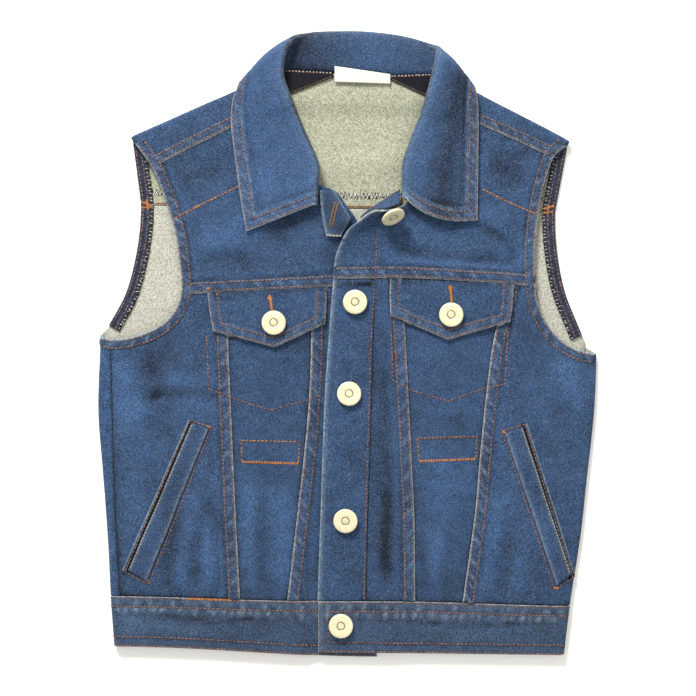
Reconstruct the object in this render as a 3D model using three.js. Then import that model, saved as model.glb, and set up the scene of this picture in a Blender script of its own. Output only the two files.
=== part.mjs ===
// A child's denim vest, laid flat on its back with the front open and the collar up the page.
// Millimetres. +Z is up, +Y is towards the collar, and left and right are as seen from above.
import * as THREE from "three";

// Driving dimensions
const CLOTH = 1.2; // one layer of denim
const DOUBLE = 2.2; // two layers sewn together: the waistband
const COLLAR = 2.0; // the collar, two layers turned and pressed
const GAP = 0.3; // between pieces that touch
const FRONT = 5.0; // middle of the front cloth above the surface
const BACK = CLOTH / 2; // middle of the back cloth above the surface
const FOLD = (FRONT - BACK) / 2; // radius of the side and shoulder folds
const SEAM_RISE = 0.8; // a felled seam stands this much above its panel
const SEAM_WIDTH = 7.5;
const COLLAR_LIFT = COLLAR + 0.4; // the collar's back half lies under the yoke and lifts it
const UNDERLAP = 2.1; // the left front drops this much under the right front
const PLACKET_RISE = 1.5; // the right front rises over the left one
const BUTTON = { radius: 8.5, height: 3.4, shank: 3 };

const DENIM = new THREE.Color(0.055, 0.105, 0.245);
const INSIDE = new THREE.Color(0.42, 0.44, 0.38);
const METAL = new THREE.Color(0.86, 0.8, 0.62);
const LABEL = new THREE.Color(0.85, 0.83, 0.75);

// Outline of the body below the armholes: side folds, and the left side seam on the front
const BODY = [
  { y: -222, left: -162.6, seam: -157.5, right: 151.2 },
  { y: -180, left: -165.8, seam: -159, right: 156.4 },
  { y: -138, left: -168, seam: -161.5, right: 163 },
  { y: -92, left: -171.4, seam: -163.5, right: 168.2 },
  { y: -47, left: -174.8, seam: -164.5, right: 173 },
  { y: -2, left: -173.4, seam: -166, right: 174.6 },
  { y: 40, left: -172, seam: -165, right: 174 },
];

// The right front's free edge, from hem to chest. The left front drops under it.
const PLACKET = [
  { y: -220, x: -20 },
  { y: -177, x: -21 },
  { y: -124, x: -19 },
  { y: -40, x: -16 },
  { y: 44, x: -10 },
  { y: 60, x: -8.4 },
  { y: 79, x: 0 },
  { y: 91, x: 14 },
  { y: 105, x: 26 },
];

// Its upper corner curls up: the edge from the chest seam to the collar, and how far it rises
const LIP = [
  { x: -9.6, y: 52, rise: 0 },
  { x: -7, y: 65, rise: 1.5 },
  { x: 0, y: 79, rise: 4 },
  { x: 9, y: 86, rise: 6 },
  { x: 17, y: 91, rise: 9 },
  { x: 27, y: 92, rise: 12 },
  { x: 38, y: 96, rise: 6 },
];
const LIP_WIDTH = 6;

// The largest soft folds of the front: a ridge, or a trough where rise is below 0
const CREASES = [
  { from: [84, 96], to: [130, 50], width: 9, rise: 1.5 },
  { from: [18, 62], to: [122, 54], width: 6, rise: 1.0 },
  { from: [-112, 58], to: [-52, 92], width: 12, rise: 1.0 },
  { from: [-132, -24], to: [-90, -38], width: 8, rise: 1.3 },
  { from: [-112, -100], to: [-90, -172], width: 9, rise: 1.0 },
  { from: [24, 20], to: [27, -168], width: 7, rise: -0.8 },
  { from: [-57, -95], to: [-53, -172], width: 9, rise: 0.8 },
  { from: [66, -80], to: [62, -168], width: 12, rise: 0.7 },
  { from: [140, -20], to: [150, -70], width: 12, rise: 0.9 },
  { from: [-150, -40], to: [-146, -150], width: 10, rise: 0.7 },
];
const CREASE_END = 14; // a fold dies away over this length at each end

// The collar, from its left front end round the back of the neck to its right front end.
// roll is the folded edge, seam the neckline under it, edge the free edge; turn is 0 where the
// fall lies on the front, 1 where it lies under the back; bow moves the middle of the fall.
const COLLAR_STATIONS = [
  { roll: [-22, 96.5], seam: [-31, 97], edge: [-70.8, 78], turn: 0, bow: [0, 0] },
  { roll: [-21, 112], seam: [-32, 112], edge: [-73.7, 95], turn: 0, bow: [0, 0] },
  { roll: [-21, 126], seam: [-33, 127], edge: [-76.2, 111], turn: 0, bow: [0, 0] },
  { roll: [-30, 147], seam: [-41, 147], edge: [-79.2, 134], turn: 0, bow: [0, 0] },
  { roll: [-38.5, 168], seam: [-48, 166], edge: [-81.5, 154], turn: 0, bow: [0, 0] },
  { roll: [-45, 187], seam: [-53, 179], edge: [-80.5, 168], turn: 0, bow: [0, 0] },
  { roll: [-43, 203], seam: [-54, 187.5], edge: [-77.5, 176.5], turn: 0.04, bow: [0, 2] },
  { roll: [-35, 214], seam: [-50, 191], edge: [-73.6, 182.8], turn: 0.5, bow: [-1, 2.5] },
  { roll: [-25, 217.4], seam: [-44, 191.2], edge: [-66, 180], turn: 0.97, bow: [-1, 1] },
  { roll: [-8, 218.2], seam: [-24, 190.4], edge: [-44, 175], turn: 1, bow: [0, 0] },
  { roll: [12, 218], seam: [5, 189.2], edge: [0, 174], turn: 1, bow: [0, 0] },
  { roll: [34, 215.6], seam: [32, 187.4], edge: [38, 173], turn: 1, bow: [0, 0] },
  { roll: [51, 211.6], seam: [53, 187.6], edge: [77, 178], turn: 0.97, bow: [1, 1] },
  { roll: [61.5, 206.5], seam: [63, 187.5], edge: [86.8, 180.2], turn: 0.5, bow: [1, 1] },
  { roll: [61.5, 198], seam: [68, 183.5], edge: [90, 173.5], turn: 0.04, bow: [1, 1] },
  { roll: [57.5, 180], seam: [66.5, 175], edge: [91.4, 165], turn: 0, bow: [0, 0] },
  { roll: [52, 161], seam: [62.5, 160], edge: [91.6, 147], turn: 0, bow: [0, 0] },
  { roll: [45, 143], seam: [55.5, 143], edge: [91.4, 128], turn: 0, bow: [0, 0] },
  { roll: [39.4, 127], seam: [49.5, 127], edge: [91.2, 111], turn: 0, bow: [0, -1] },
  { roll: [38.6, 113], seam: [48.5, 113], edge: [91, 97], turn: 0, bow: [-1, -3] },
  { roll: [38.8, 101], seam: [48, 100], edge: [91, 86], turn: 0, bow: [-4, -6] },
];
const ROLL_RADIUS = 1.4;
const ROLL_HEIGHT = 4.2; // of the rolled edge above the front cloth's middle
const FALL_ON_FRONT = CLOTH / 2 + SEAM_RISE + GAP + COLLAR / 2; // its middle above the front's

const lerp = THREE.MathUtils.lerp;
const ramp = (t) => THREE.MathUtils.smoothstep(t, 0, 1);
const steps = (n) => Array.from({ length: n + 1 }, (_, i) => i / n);

// A column of a table as a smooth curve of its key column.
function column(table, key, name) {
  return (k) => {
    const last = table.length - 1;
    let i = table.findIndex((row) => row[key] > k) - 1;
    if (k >= table[last][key]) i = last - 1;
    i = Math.max(i, 0);
    const slope = (j) => {
      const a = table[Math.max(j - 1, 0)];
      const b = table[Math.min(j + 1, last)];
      return (b[name] - a[name]) / (b[key] - a[key]);
    };
    const [p, q] = [table[i], table[i + 1]];
    const span = q[key] - p[key];
    const t = THREE.MathUtils.clamp((k - p[key]) / span, 0, 1);
    const [t2, t3] = [t * t, t * t * t];
    return (
      p[name] * (2 * t3 - 3 * t2 + 1) +
      slope(i) * span * (t3 - 2 * t2 + t) +
      q[name] * (3 * t2 - 2 * t3) +
      slope(i + 1) * span * (t3 - t2)
    );
  };
}
const leftFold = column(BODY, "y", "left");
const sideSeam = column(BODY, "y", "seam");
const rightFold = column(BODY, "y", "right");
const placketEdge = column(PLACKET, "y", "x");

// Distance from a plan point to a segment, and how far along it the nearest point is.
function nearest(x, y, [ax, ay], [bx, by]) {
  const [dx, dy] = [bx - ax, by - ay];
  const t = ((x - ax) * dx + (y - ay) * dy) / (dx * dx + dy * dy);
  const c = THREE.MathUtils.clamp(t, 0, 1);
  return { along: c, distance: Math.hypot(x - ax - c * dx, y - ay - c * dy) };
}

// Distance from the silhouette of a side fold to where the flat cloth begins.
const FOLD_INSET = FOLD + CLOTH / 2;

// Where the collar's fall lies beneath, the back and the shoulders are lifted by it.
const collarLift = (x, y) =>
  COLLAR_LIFT * ramp((y - 158) / 13) * ramp((93 - Math.abs(x - 7)) / 12);

function creaseHeight(x, y) {
  let sum = 0;
  for (const { from, to, width, rise } of CREASES) {
    const length = Math.hypot(to[0] - from[0], to[1] - from[1]);
    const { along, distance } = nearest(x, y, from, to);
    const ends = Math.min(along, 1 - along) * length;
    sum += rise * Math.exp(-((distance / width) ** 2)) * ramp(ends / CREASE_END);
  }
  const room = Math.min(x - leftFold(y), rightFold(y) - x) - FOLD_INSET;
  return sum * ramp(room / 12);
}

// Height of the middle of the front cloth.
const front = (x, y) => FRONT + collarLift(x, y) + creaseHeight(x, y);
const leftFront = (x, y) => front(x, y) - UNDERLAP * ramp((x - placketEdge(y) + 12) / 11);

function lipRise(x, y) {
  let best = { distance: Infinity, rise: 0 };
  for (let i = 1; i < LIP.length; i++) {
    const [p, q] = [LIP[i - 1], LIP[i]];
    const { along, distance } = nearest(x, y, [p.x, p.y], [q.x, q.y]);
    if (distance < best.distance) best = { distance, rise: lerp(p.rise, q.rise, along) };
  }
  return best.rise * Math.exp(-((best.distance / LIP_WIDTH) ** 1.4));
}
const rightFront = (x, y) =>
  front(x, y) + PLACKET_RISE * ramp((42 - x) / 20) + lipRise(x, y);
const back = (x, y) => BACK + collarLift(x, y);

// Carries a plan point round a side fold. `flat` gives the height before the fold; beyond it
// the cloth turns over radius r to the other layer and comes back.
function round(x, y, flat, from, to) {
  const hand = Math.sign(x);
  const edge = Math.abs(hand < 0 ? leftFold(y) : rightFold(y));
  const r = Math.abs(from - to) / 2;
  const start = edge - FOLD_INSET;
  const past = Math.abs(x) - start;
  if (past <= 0) return new THREE.Vector3(x, y, flat(x, y));
  const middle = (from + to) / 2;
  if (past < Math.PI * r) {
    const out = start + r * Math.sin(past / r);
    return new THREE.Vector3(hand * out, y, middle + (from - middle) * Math.cos(past / r));
  }
  return new THREE.Vector3(hand * (start - past + Math.PI * r), y, to);
}
const onLeft = (x, y) => round(x, y, leftFront, FRONT, BACK);
const onRight = (x, y) => round(x, y, rightFront, FRONT, BACK);
const onBack = (x, y) => round(x, y, back, BACK, FRONT);
// The same cloth counted from the other layer: how far past the fold a point of it lies.
const beyondFold = (fold, x) => 2 * (Math.abs(fold) - FOLD_INSET) + Math.PI * FOLD - Math.abs(x);

// A line through plan points, each stretch taking an equal share of t.
function path(points) {
  return (t) => {
    const at = t * (points.length - 1);
    const i = Math.min(Math.floor(at + 1e-9), points.length - 2);
    return [0, 1].map((k) => lerp(points[i][k], points[i + 1][k], at - i));
  };
}

// A patch of plan between four lines: bottom and top run left to right, sides bottom to top.
function patch({ bottom, top, left, right }) {
  const [b, t, l, r] = [bottom, top, left, right].map(path);
  return (u, v) =>
    [0, 1].map(
      (k) =>
        lerp(b(u)[k], t(u)[k], v) +
        lerp(l(v)[k], r(v)[k], u) -
        lerp(lerp(b(0)[k], b(1)[k], u), lerp(t(0)[k], t(1)[k], u), v),
    );
}

// A cloth wall: a grid of points on the middle of the cloth, moved along its normals to low
// and high, and closed round its edges. keep(i, j) says which cells of the grid it has.
function wall(name, colour, across, along, at, low, high, keep = () => true) {
  const [w, h] = [across.length, along.length];
  const kept = (i, j) => i >= 0 && j >= 0 && i < w - 1 && j < h - 1 && keep(i, j);
  const points = [];
  for (let j = 0; j < h; j++) for (let i = 0; i < w; i++) points.push(at(across[i], along[j]));
  const normals = points.map(() => new THREE.Vector3());
  const cells = [];
  for (let j = 0; j < h - 1; j++) {
    for (let i = 0; i < w - 1; i++) {
      if (!kept(i, j)) continue;
      const corners = [j * w + i, j * w + i + 1, (j + 1) * w + i + 1, (j + 1) * w + i];
      const [a, b, c, d] = corners.map((k) => points[k]);
      const normal = c.clone().sub(a).cross(d.clone().sub(b));
      corners.forEach((k) => normals[k].add(normal));
      cells.push({ i, j, corners });
    }
  }
  const offset = (value, k) =>
    typeof value === "number" ? value : value(across[k % w], along[Math.floor(k / w)]);
  const layer = (value) =>
    points.flatMap((p, k) => {
      const n = normals[k].lengthSq() ? normals[k].clone().normalize() : normals[k];
      return p.clone().addScaledVector(n, offset(value, k)).toArray();
    });
  const over = points.length;
  const index = [];
  const quad = (a, b, c, d) => index.push(a, b, c, a, c, d);
  for (const { i, j, corners } of cells) {
    const [a, b, c, d] = corners;
    quad(a + over, b + over, c + over, d + over);
    quad(d, c, b, a);
    if (!kept(i, j - 1)) quad(a, b, b + over, a + over);
    if (!kept(i + 1, j)) quad(b, c, c + over, b + over);
    if (!kept(i, j + 1)) quad(c, d, d + over, c + over);
    if (!kept(i - 1, j)) quad(d, a, a + over, d + over);
  }
  const geometry = new THREE.BufferGeometry();
  const positions = new Float32Array([...layer(low), ...layer(high)]);
  geometry.setAttribute("position", new THREE.BufferAttribute(positions, 3));
  geometry.setIndex(index);
  geometry.computeVertexNormals();
  return mesh(name, geometry, colour);
}

function mesh(name, geometry, colour, roughness = 0.9, metalness = 0) {
  const material = new THREE.MeshStandardMaterial({ color: colour, roughness, metalness });
  const made = new THREE.Mesh(geometry, material);
  made.name = name;
  return made;
}

// Grid lines over a length: n even steps between a band at each end, whose edge is a step.
function banded(n, length, first = 0, last = 0) {
  const [a, b] = [first / length, 1 - last / length];
  const edge = 0.7 / length;
  const low = first ? [0, a, a + edge] : [0];
  const high = last ? [b - edge, b, 1] : [1];
  const [from, to] = [low.at(-1), high[0]];
  const between = steps(n).slice(1, -1).map((t) => lerp(from, to, t));
  return [...low, ...between, ...high];
}

// A panel cut from plan, laid on a surface, with raised felled seams along some of its edges.
function panel(name, outline, surface, { size, cells, seams = {}, low, rise = SEAM_RISE }) {
  const plan = patch(outline);
  const [width, height] = size;
  const share = (mm, length) => (mm ? mm / length + 1e-6 : -1);
  const [l, r] = [share(seams.left, width), share(seams.right, width)];
  const [b, t] = [share(seams.bottom, height), share(seams.top, height)];
  const across = banded(cells[0], width, seams.left, seams.right);
  const along = banded(cells[1], height, seams.bottom, seams.top);
  const high = (u, v) =>
    CLOTH / 2 + (u <= l || 1 - u <= r || v <= b || 1 - v <= t ? rise : 0);
  const at = (u, v) => surface(...plan(u, v));
  return wall(name, DENIM, across, along, at, low ?? -CLOTH / 2, high);
}

// A flat piece that lies on a surface: its points are the surface's, moved out.
function overlay(name, colour, outline, surface, [low, high], [nu, nv], edges = null) {
  const plan = patch(outline);
  const across = edges ? banded(nu, edges.width, edges.sides, edges.sides) : steps(nu);
  const along = edges ? banded(nv, edges.height, edges.bottom, 0) : steps(nv);
  const raised = (u, v) => {
    if (!edges) return high;
    const side = edges.sides / edges.width + 1e-6;
    const onEdge = u <= side || 1 - u <= side || v <= edges.bottom / edges.height + 1e-6;
    return high + (onEdge ? edges.rise : 0);
  };
  const at = (u, v) => surface(...plan(u, v));
  return wall(name, colour, across, along, at, low, raised);
}
const lift = (height) => (x, y) => new THREE.Vector3(x, y, height(x, y));

const vest = new THREE.Group();
vest.name = "denim_vest";

// Yokes: chest seam at the bottom, armhole and neckline at the sides, shoulder seam at the top
vest.add(
  panel(
    "front_yoke_left",
    {
      bottom: [[-115, 34.6], [-92, 35.7], [-68, 36.9], [-40, 38.3], [-12, 39.9], [17, 41.4]],
      left: [[-115, 34.6], [-117.5, 58], [-120.5, 78], [-127.5, 100], [-136.6, 122.6]],
      top: [[-136.6, 122.6], [-119, 131.8], [-100, 141.4], [-81, 151], [-69, 156.4], [-56, 161]],
      right: [[17, 41.4], [15, 62], [9, 82], [-1, 97], [-9, 107], [-24, 113], [-36, 130],
        [-46, 148], [-56, 161]],
    },
    lift(leftFront),
    { size: [118, 82], cells: [10, 8], seams: { bottom: SEAM_WIDTH, left: SEAM_WIDTH } },
  ),
  panel(
    "front_yoke_right",
    {
      bottom: [[-10, 45.6], [12, 45.7], [36, 46], [60, 45], [84, 43.5], [108, 41.9],
        [131.4, 40.2]],
      left: [[-10, 45.6], [-9, 57], [-7, 65], [0, 79], [9, 86], [17, 91], [27, 92], [38, 96],
        [47, 105], [50, 125], [57, 147], [66, 165]],
      top: [[66, 165], [79, 159], [92, 153.2], [105, 147.4], [118, 141.6], [131, 135.6],
        [143.6, 129.6]],
      right: [[131.4, 40.2], [130.6, 60], [132.4, 84], [137, 107], [143.6, 129.6]],
    },
    lift(rightFront),
    { size: [118, 82], cells: [12, 11], seams: { bottom: SEAM_WIDTH, right: SEAM_WIDTH } },
  ),
);

// Lower front panels, from the side seam to the free edge. The middle ones lie lowest.
const bandTop = (x) =>
  lerp(-176.8, -180.3, ramp((x + 166) / 146)) - 3.3 * ramp((x - 20) / 140);
const panelFoot = (points) => points.map((x) => [x, bandTop(x) + GAP]);
const leftSeam = [-176.4, -138, -92, -47, 2.4].map((y) => [sideSeam(y) + GAP / 2, y]);
const wrapRight = (y, inset) => beyondFold(rightFold(y), rightFold(y) - inset);
vest.add(
  panel(
    "side_front_left",
    {
      bottom: panelFoot([sideSeam(-176.4) + GAP / 2, -138, -117, -96, -75.4]),
      left: leftSeam,
      top: [leftSeam.at(-1), [-150, 4.4], [-134, 10.6], [-122.3, 20.6], [-116.2, 34.2], [-100, 35],
        [-84.4, 35.7]],
      right: [[-75.4, bandTop(-75) + GAP], [-79, -108], [-82, -40], [-83.6, 0], [-84.4, 35.7]],
    },
    onLeft,
    { size: [85, 200], cells: [7, 11], seams: { right: SEAM_WIDTH, top: SEAM_WIDTH } },
  ),
  panel(
    "middle_front_left",
    {
      bottom: panelFoot([-75.1, -58, -42.2]),
      left: [[-75.1, bandTop(-75) + GAP], [-78.7, -108], [-81.7, -40], [-83.3, 0], [-84.1, 35.7]],
      top: [[-84.1, 35.7], [-54, 37.3], [-25.4, 38.8]],
      right: [[-42.2, bandTop(-42) + GAP], [-35, -118], [-28.7, -60], [-25.8, -12], [-25.4, 38.8]],
    },
    lift(leftFront),
    { size: [50, 215], cells: [4, 12] },
  ),
  panel(
    "inner_front_left",
    {
      bottom: panelFoot([-41.9, -20, 0, 19]),
      left: [[-41.9, bandTop(-42) + GAP], [-34.7, -118], [-28.4, -60], [-25.5, -12], [-25.1, 38.8]],
      top: [[-25.1, 38.8], [-11, 39.6], [4, 40.3], [17, 41]],
      right: [[19, bandTop(19) + GAP], [19, -120], [18, -60], [17, -9], [17, 41]],
    },
    lift(leftFront),
    { size: [45, 220], cells: [4, 12], seams: { left: SEAM_WIDTH }, rise: SEAM_RISE / 2 },
  ),
  panel(
    "placket_right",
    {
      bottom: panelFoot([-20.8, -4, 13]),
      left: [-181.3, -124, -82, -40, 2, 44.2].map((y) => [placketEdge(y), y + 1]),
      top: [[placketEdge(44.2), 45.2], [4, 45.2], [19, 45.4]],
      right: [[13, bandTop(13) + GAP], [14, -124], [15.6, -82], [16.8, -40], [18, 2], [19, 45.4]],
    },
    lift(rightFront),
    { size: [34, 225], cells: [2, 12], low: -CLOTH / 2 - CLOTH },
  ),
  panel(
    "inner_front_right",
    {
      bottom: panelFoot([13.3, 24, 35, 47.2]),
      left: [[13.3, bandTop(13) + GAP], [14.3, -124], [15.9, -82], [17.1, -40], [18.3, 2],
        [19.3, 45.4]],
      top: [[19.3, 45.4], [25, 45.5], [31, 45.6], [37.6, 45.6]],
      right: [[47.2, bandTop(47) + GAP], [46.6, -124], [44.7, -82], [42.6, -40], [40.4, 2],
        [37.6, 45.6]],
    },
    lift(rightFront),
    { size: [27, 225], cells: [2, 12], seams: { right: SEAM_WIDTH } },
  ),
  panel(
    "middle_front_right",
    {
      bottom: panelFoot([47.5, 64, 80.4]),
      left: [[47.5, bandTop(47) + GAP], [46.9, -124], [45, -82], [42.9, -40], [40.7, 2],
        [37.9, 45.6]],
      top: [[37.9, 45.6], [74, 43.8], [111.8, 41.4]],
      right: [[80.4, bandTop(80) + GAP], [88.5, -124], [92.4, -82], [96.5, -40], [102.2, 2],
        [111.8, 41.4]],
    },
    lift(rightFront),
    { size: [52, 220], cells: [4, 12] },
  ),
  panel(
    "side_front_right",
    {
      bottom: panelFoot([80.7, 106, 130, 153.8]).concat([[wrapRight(-183, 7), -183.3]]),
      left: [[80.7, bandTop(80) + GAP], [88.8, -124], [92.7, -82], [96.8, -40], [102.5, 2],
        [112.1, 41.4]],
      top: [[112.1, 41.4], [122, 40.6], [131.6, 39.8], [133.8, 28], [138.2, 16], [148, 3.4],
        [160, -4.4], [171, -7.6], [175.6, -7], [wrapRight(-4, 7), -3]],
      right: [-183.3, -138, -92, -47, -3].map((y) => [wrapRight(y, 7), y]),
    },
    onRight,
    { size: [85, 215], cells: [12, 11], seams: { left: SEAM_WIDTH } },
  ),
);

// Back, lying on the surface. On the left it comes round the fold to the side seam.
const seamOnBack = (y) => [-beyondFold(leftFold(y), sideSeam(y) - GAP / 2), y];
const backRight = (y) => [rightFold(y) - 7 - GAP, y];
const backFoot = [seamOnBack(-176.6)[0], -150, -90, -30, 30, 90, backRight(-183)[0]];
vest.add(
  wall(
    "back_body",
    INSIDE,
    [0, 0.012, 0.022, 0.03, 0.038, 0.046, ...steps(8).slice(1)],
    steps(12),
    ((plan) => (u, v) => onBack(...plan(u, v)))(
      patch({
        bottom: [[seamOnBack(-176.6)[0], -176.5], [backRight(-183)[0], -183.2]],
        left: [...[-176.5, -138, -92, -47, 2].map(seamOnBack), [-176, 4.6], [-166, 14.4],
          [-156.6, 33], [-150.4, 54], [-146.6, 76], [-145.2, 97]],
        top: [[-145.2, 97], [146, 92]],
        right: [...[-183.2, -138, -92, -47, -5].map(backRight), [165.4, 4], [159.4, 17],
          [153.8, 33], [149.2, 52], [146.6, 73], [146, 92]],
      }),
    ),
    -CLOTH / 2,
    CLOTH / 2,
  ),
);

// Back yoke: each column runs up the back, and at the shoulders over the fold to its front seam
const YOKE_COLUMNS = [
  { foot: [-145.2, 97.3], fold: [-152, 145], seam: [-136.9, 123] },
  { foot: [-138, 97.2], fold: [-141.5, 149.6], seam: [-128, 127.4] },
  { foot: [-124, 97], fold: [-126, 156.4], seam: [-115, 134.2] },
  { foot: [-108, 96.7], fold: [-110, 163.6], seam: [-101, 141.2] },
  { foot: [-93, 96.4], fold: [-95, 170.2], seam: [-88, 147.8] },
  { foot: [-79, 96.2], fold: [-80, 176.4], seam: [-75, 154.2] },
  { foot: [-67, 96], fold: [-68, 181], seam: [-65, 158.6] },
  { foot: [-55, 95.8], fold: [-57, 185.6], seam: [-57.6, 161] },
  { foot: [-42, 95.6], neck: [-46, 190.4] },
  { foot: [-28, 95.4], neck: [-28, 190] },
  { foot: [-12, 95.1], neck: [-11, 189.2] },
  { foot: [5, 94.8], neck: [5, 188.2] },
  { foot: [20, 94.5], neck: [20, 187.2] },
  { foot: [36, 94.2], neck: [36, 186.4] },
  { foot: [50, 94], neck: [54, 186.4] },
  { foot: [64, 93.7], fold: [70, 184], seam: [67.4, 165] },
  { foot: [76, 93.5], fold: [80, 180], seam: [78, 160] },
  { foot: [90, 93.2], fold: [93, 174.6], seam: [90, 154.6] },
  { foot: [104, 93], fold: [108, 167], seam: [103, 148.8] },
  { foot: [120, 92.7], fold: [124, 158.8], seam: [117, 142.6] },
  { foot: [135, 92.5], fold: [140, 150.6], seam: [131, 136.2] },
  { foot: [146, 92.3], fold: [156, 142], seam: [144.1, 130] },
];
const UP_BACK = [0, 0.36, 0.7, 0.78, 0.87, 1];
const [YOKE_ROWS, FOLD_ROWS, WRAP_ROWS] = [UP_BACK.length - 1, 4, 2];
const shoulderSlope = { left: [0.913, 0.408], right: [0.894, -0.448] };

function yokePoint(u, v) {
  const { foot, fold, neck, seam } = YOKE_COLUMNS[Math.round(u)];
  const row = Math.round(v);
  if (row <= YOKE_ROWS || neck) {
    const [x1, y1] = neck ?? foldStart(foot, fold);
    const t = UP_BACK[Math.min(row, YOKE_ROWS)];
    const [x, y] = [lerp(foot[0], x1, t), lerp(foot[1], y1, t)];
    return new THREE.Vector3(x, y, back(x, y));
  }
  const [sx, sy] = foldStart(foot, fold);
  if (row <= YOKE_ROWS + FOLD_ROWS) {
    const angle = (Math.PI * (row - YOKE_ROWS)) / FOLD_ROWS;
    const [nx, ny] = foldNormal(fold);
    const out = FOLD * Math.sin(angle);
    const z = back(sx, sy) + FOLD * (1 - Math.cos(angle));
    return new THREE.Vector3(sx + nx * out, sy + ny * out, z);
  }
  const t = (row - YOKE_ROWS - FOLD_ROWS) / WRAP_ROWS;
  const [x, y] = [lerp(sx, seam[0], t), lerp(sy, seam[1], t)];
  return new THREE.Vector3(x, y, lerp(back(sx, sy) + 2 * FOLD, front(x, y), ramp(2 * t)));
}

function foldNormal(fold) {
  const [dx, dy] = fold[0] < 0 ? shoulderSlope.left : shoulderSlope.right;
  return [-dy, dx];
}

function foldStart(foot, fold) {
  const [nx, ny] = foldNormal(fold);
  return [fold[0] - nx * FOLD_INSET, fold[1] - ny * FOLD_INSET];
}

const yokeRows = YOKE_ROWS + FOLD_ROWS + WRAP_ROWS;
vest.add(
  wall(
    "back_yoke",
    DENIM,
    YOKE_COLUMNS.map((_, i) => i),
    steps(yokeRows).map((t) => t * yokeRows),
    yokePoint,
    (u, v) => -CLOTH / 2 - (v >= yokeRows - 1 ? SEAM_RISE / 2 : 0),
    CLOTH / 2,
    (i, j) => j < YOKE_ROWS || !(YOKE_COLUMNS[i].neck || YOKE_COLUMNS[i + 1].neck),
  ),
);

// Waistband: one doubled strip from the left front's end round the back to the right front's
const BAND = { back: DOUBLE / 2, front: 5.6, overlap: 6.5, underlap: 3.7 };
const bandFold = (BAND.front - BAND.back) / 2;
const bandInset = bandFold + DOUBLE / 2;
function bandStations() {
  const [left, right] = [-1, 1];
  const stations = [];
  const flat = (from, to, n, layer) => {
    for (let i = 0; i < n; i++) stations.push({ layer, share: lerp(from, to, i / n) });
  };
  const turn = (hand, from, to) => {
    for (let i = 0; i < 5; i++) {
      stations.push({ layer: "fold", hand, angle: lerp(from, to, i / 5) });
    }
  };
  flat(1, 0, 9, "left");
  turn(left, 0, Math.PI);
  flat(0, 1, 8, "back");
  turn(right, Math.PI, 0);
  flat(1, 0, 9, "right");
  stations.push({ layer: "right", share: 0 });
  return stations;
}
const BAND_STATIONS = bandStations();
const HEM = { left: -212, leftEnd: -219.4, right: -218, rightEnd: -215.8 };
const BAND_ENDS = { left: 20.6, right: -20.4 };

function bandPoint(u, v) {
  const { layer, share, hand, angle } = BAND_STATIONS[Math.round(u)];
  const leftTop = bandTop(-166);
  const spot = (x, low, high, z) => {
    const y = lerp(low, high, v);
    return new THREE.Vector3(x(y), y, z(x(y)));
  };
  const inLeft = (y) => leftFold(y) + bandInset;
  const inRight = (y) => rightFold(y) - bandInset;
  if (layer === "left") {
    const x = lerp(inLeft(-200), BAND_ENDS.left, share);
    const low = lerp(HEM.left, HEM.leftEnd, ramp((x + 163) / 184));
    const z = (at) => lerp(BAND.front, BAND.underlap, ramp((at + 33) / 11));
    return spot((y) => lerp(inLeft(y), BAND_ENDS.left, share), low, bandTop(x), z);
  }
  if (layer === "right") {
    const x = lerp(BAND_ENDS.right, inRight(-200), share);
    const low = lerp(HEM.rightEnd, HEM.right, share);
    const z = (at) => lerp(BAND.overlap, BAND.front, ramp((at - 24) / 24));
    return spot((y) => lerp(BAND_ENDS.right, inRight(y), share), low, bandTop(x), z);
  }
  if (layer === "back") {
    const low = lerp(HEM.left, HEM.right, share);
    const top = lerp(leftTop, bandTop(156), share);
    return spot((y) => lerp(inLeft(y), inRight(y), share), low, top, () => BAND.back);
  }
  const [low, top] = hand < 0 ? [HEM.left, leftTop] : [HEM.right, bandTop(156)];
  const flatEnd = hand < 0 ? inLeft : inRight;
  const z = (BAND.front + BAND.back) / 2 + bandFold * Math.cos(angle);
  return spot((y) => flatEnd(y) + hand * bandFold * Math.sin(angle), low, top, () => z);
}
vest.add(
  wall(
    "waistband",
    DENIM,
    BAND_STATIONS.map((_, i) => i),
    steps(2),
    bandPoint,
    -DOUBLE / 2,
    DOUBLE / 2,
  ),
);

// Collar: a section at each station, from the neckline seam under the roll to the free edge
const STAND_STEPS = 2;
const TURN_STEPS = 4;
const FALL_STEPS = 4;
const SECTION = STAND_STEPS + TURN_STEPS + FALL_STEPS;
const station = (name, k) => new THREE.CatmullRomCurve3(
  COLLAR_STATIONS.map((row) => {
    const value = row[name];
    return k === undefined
      ? new THREE.Vector3(value[0], value[1], 0)
      : new THREE.Vector3(value, 0, 0);
  }),
  false,
  "catmullrom",
  0.5,
);
const collarLines = {
  roll: station("roll"),
  seam: station("seam"),
  edge: station("edge"),
  bow: station("bow"),
  turn: station("turn", 0),
};

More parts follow.
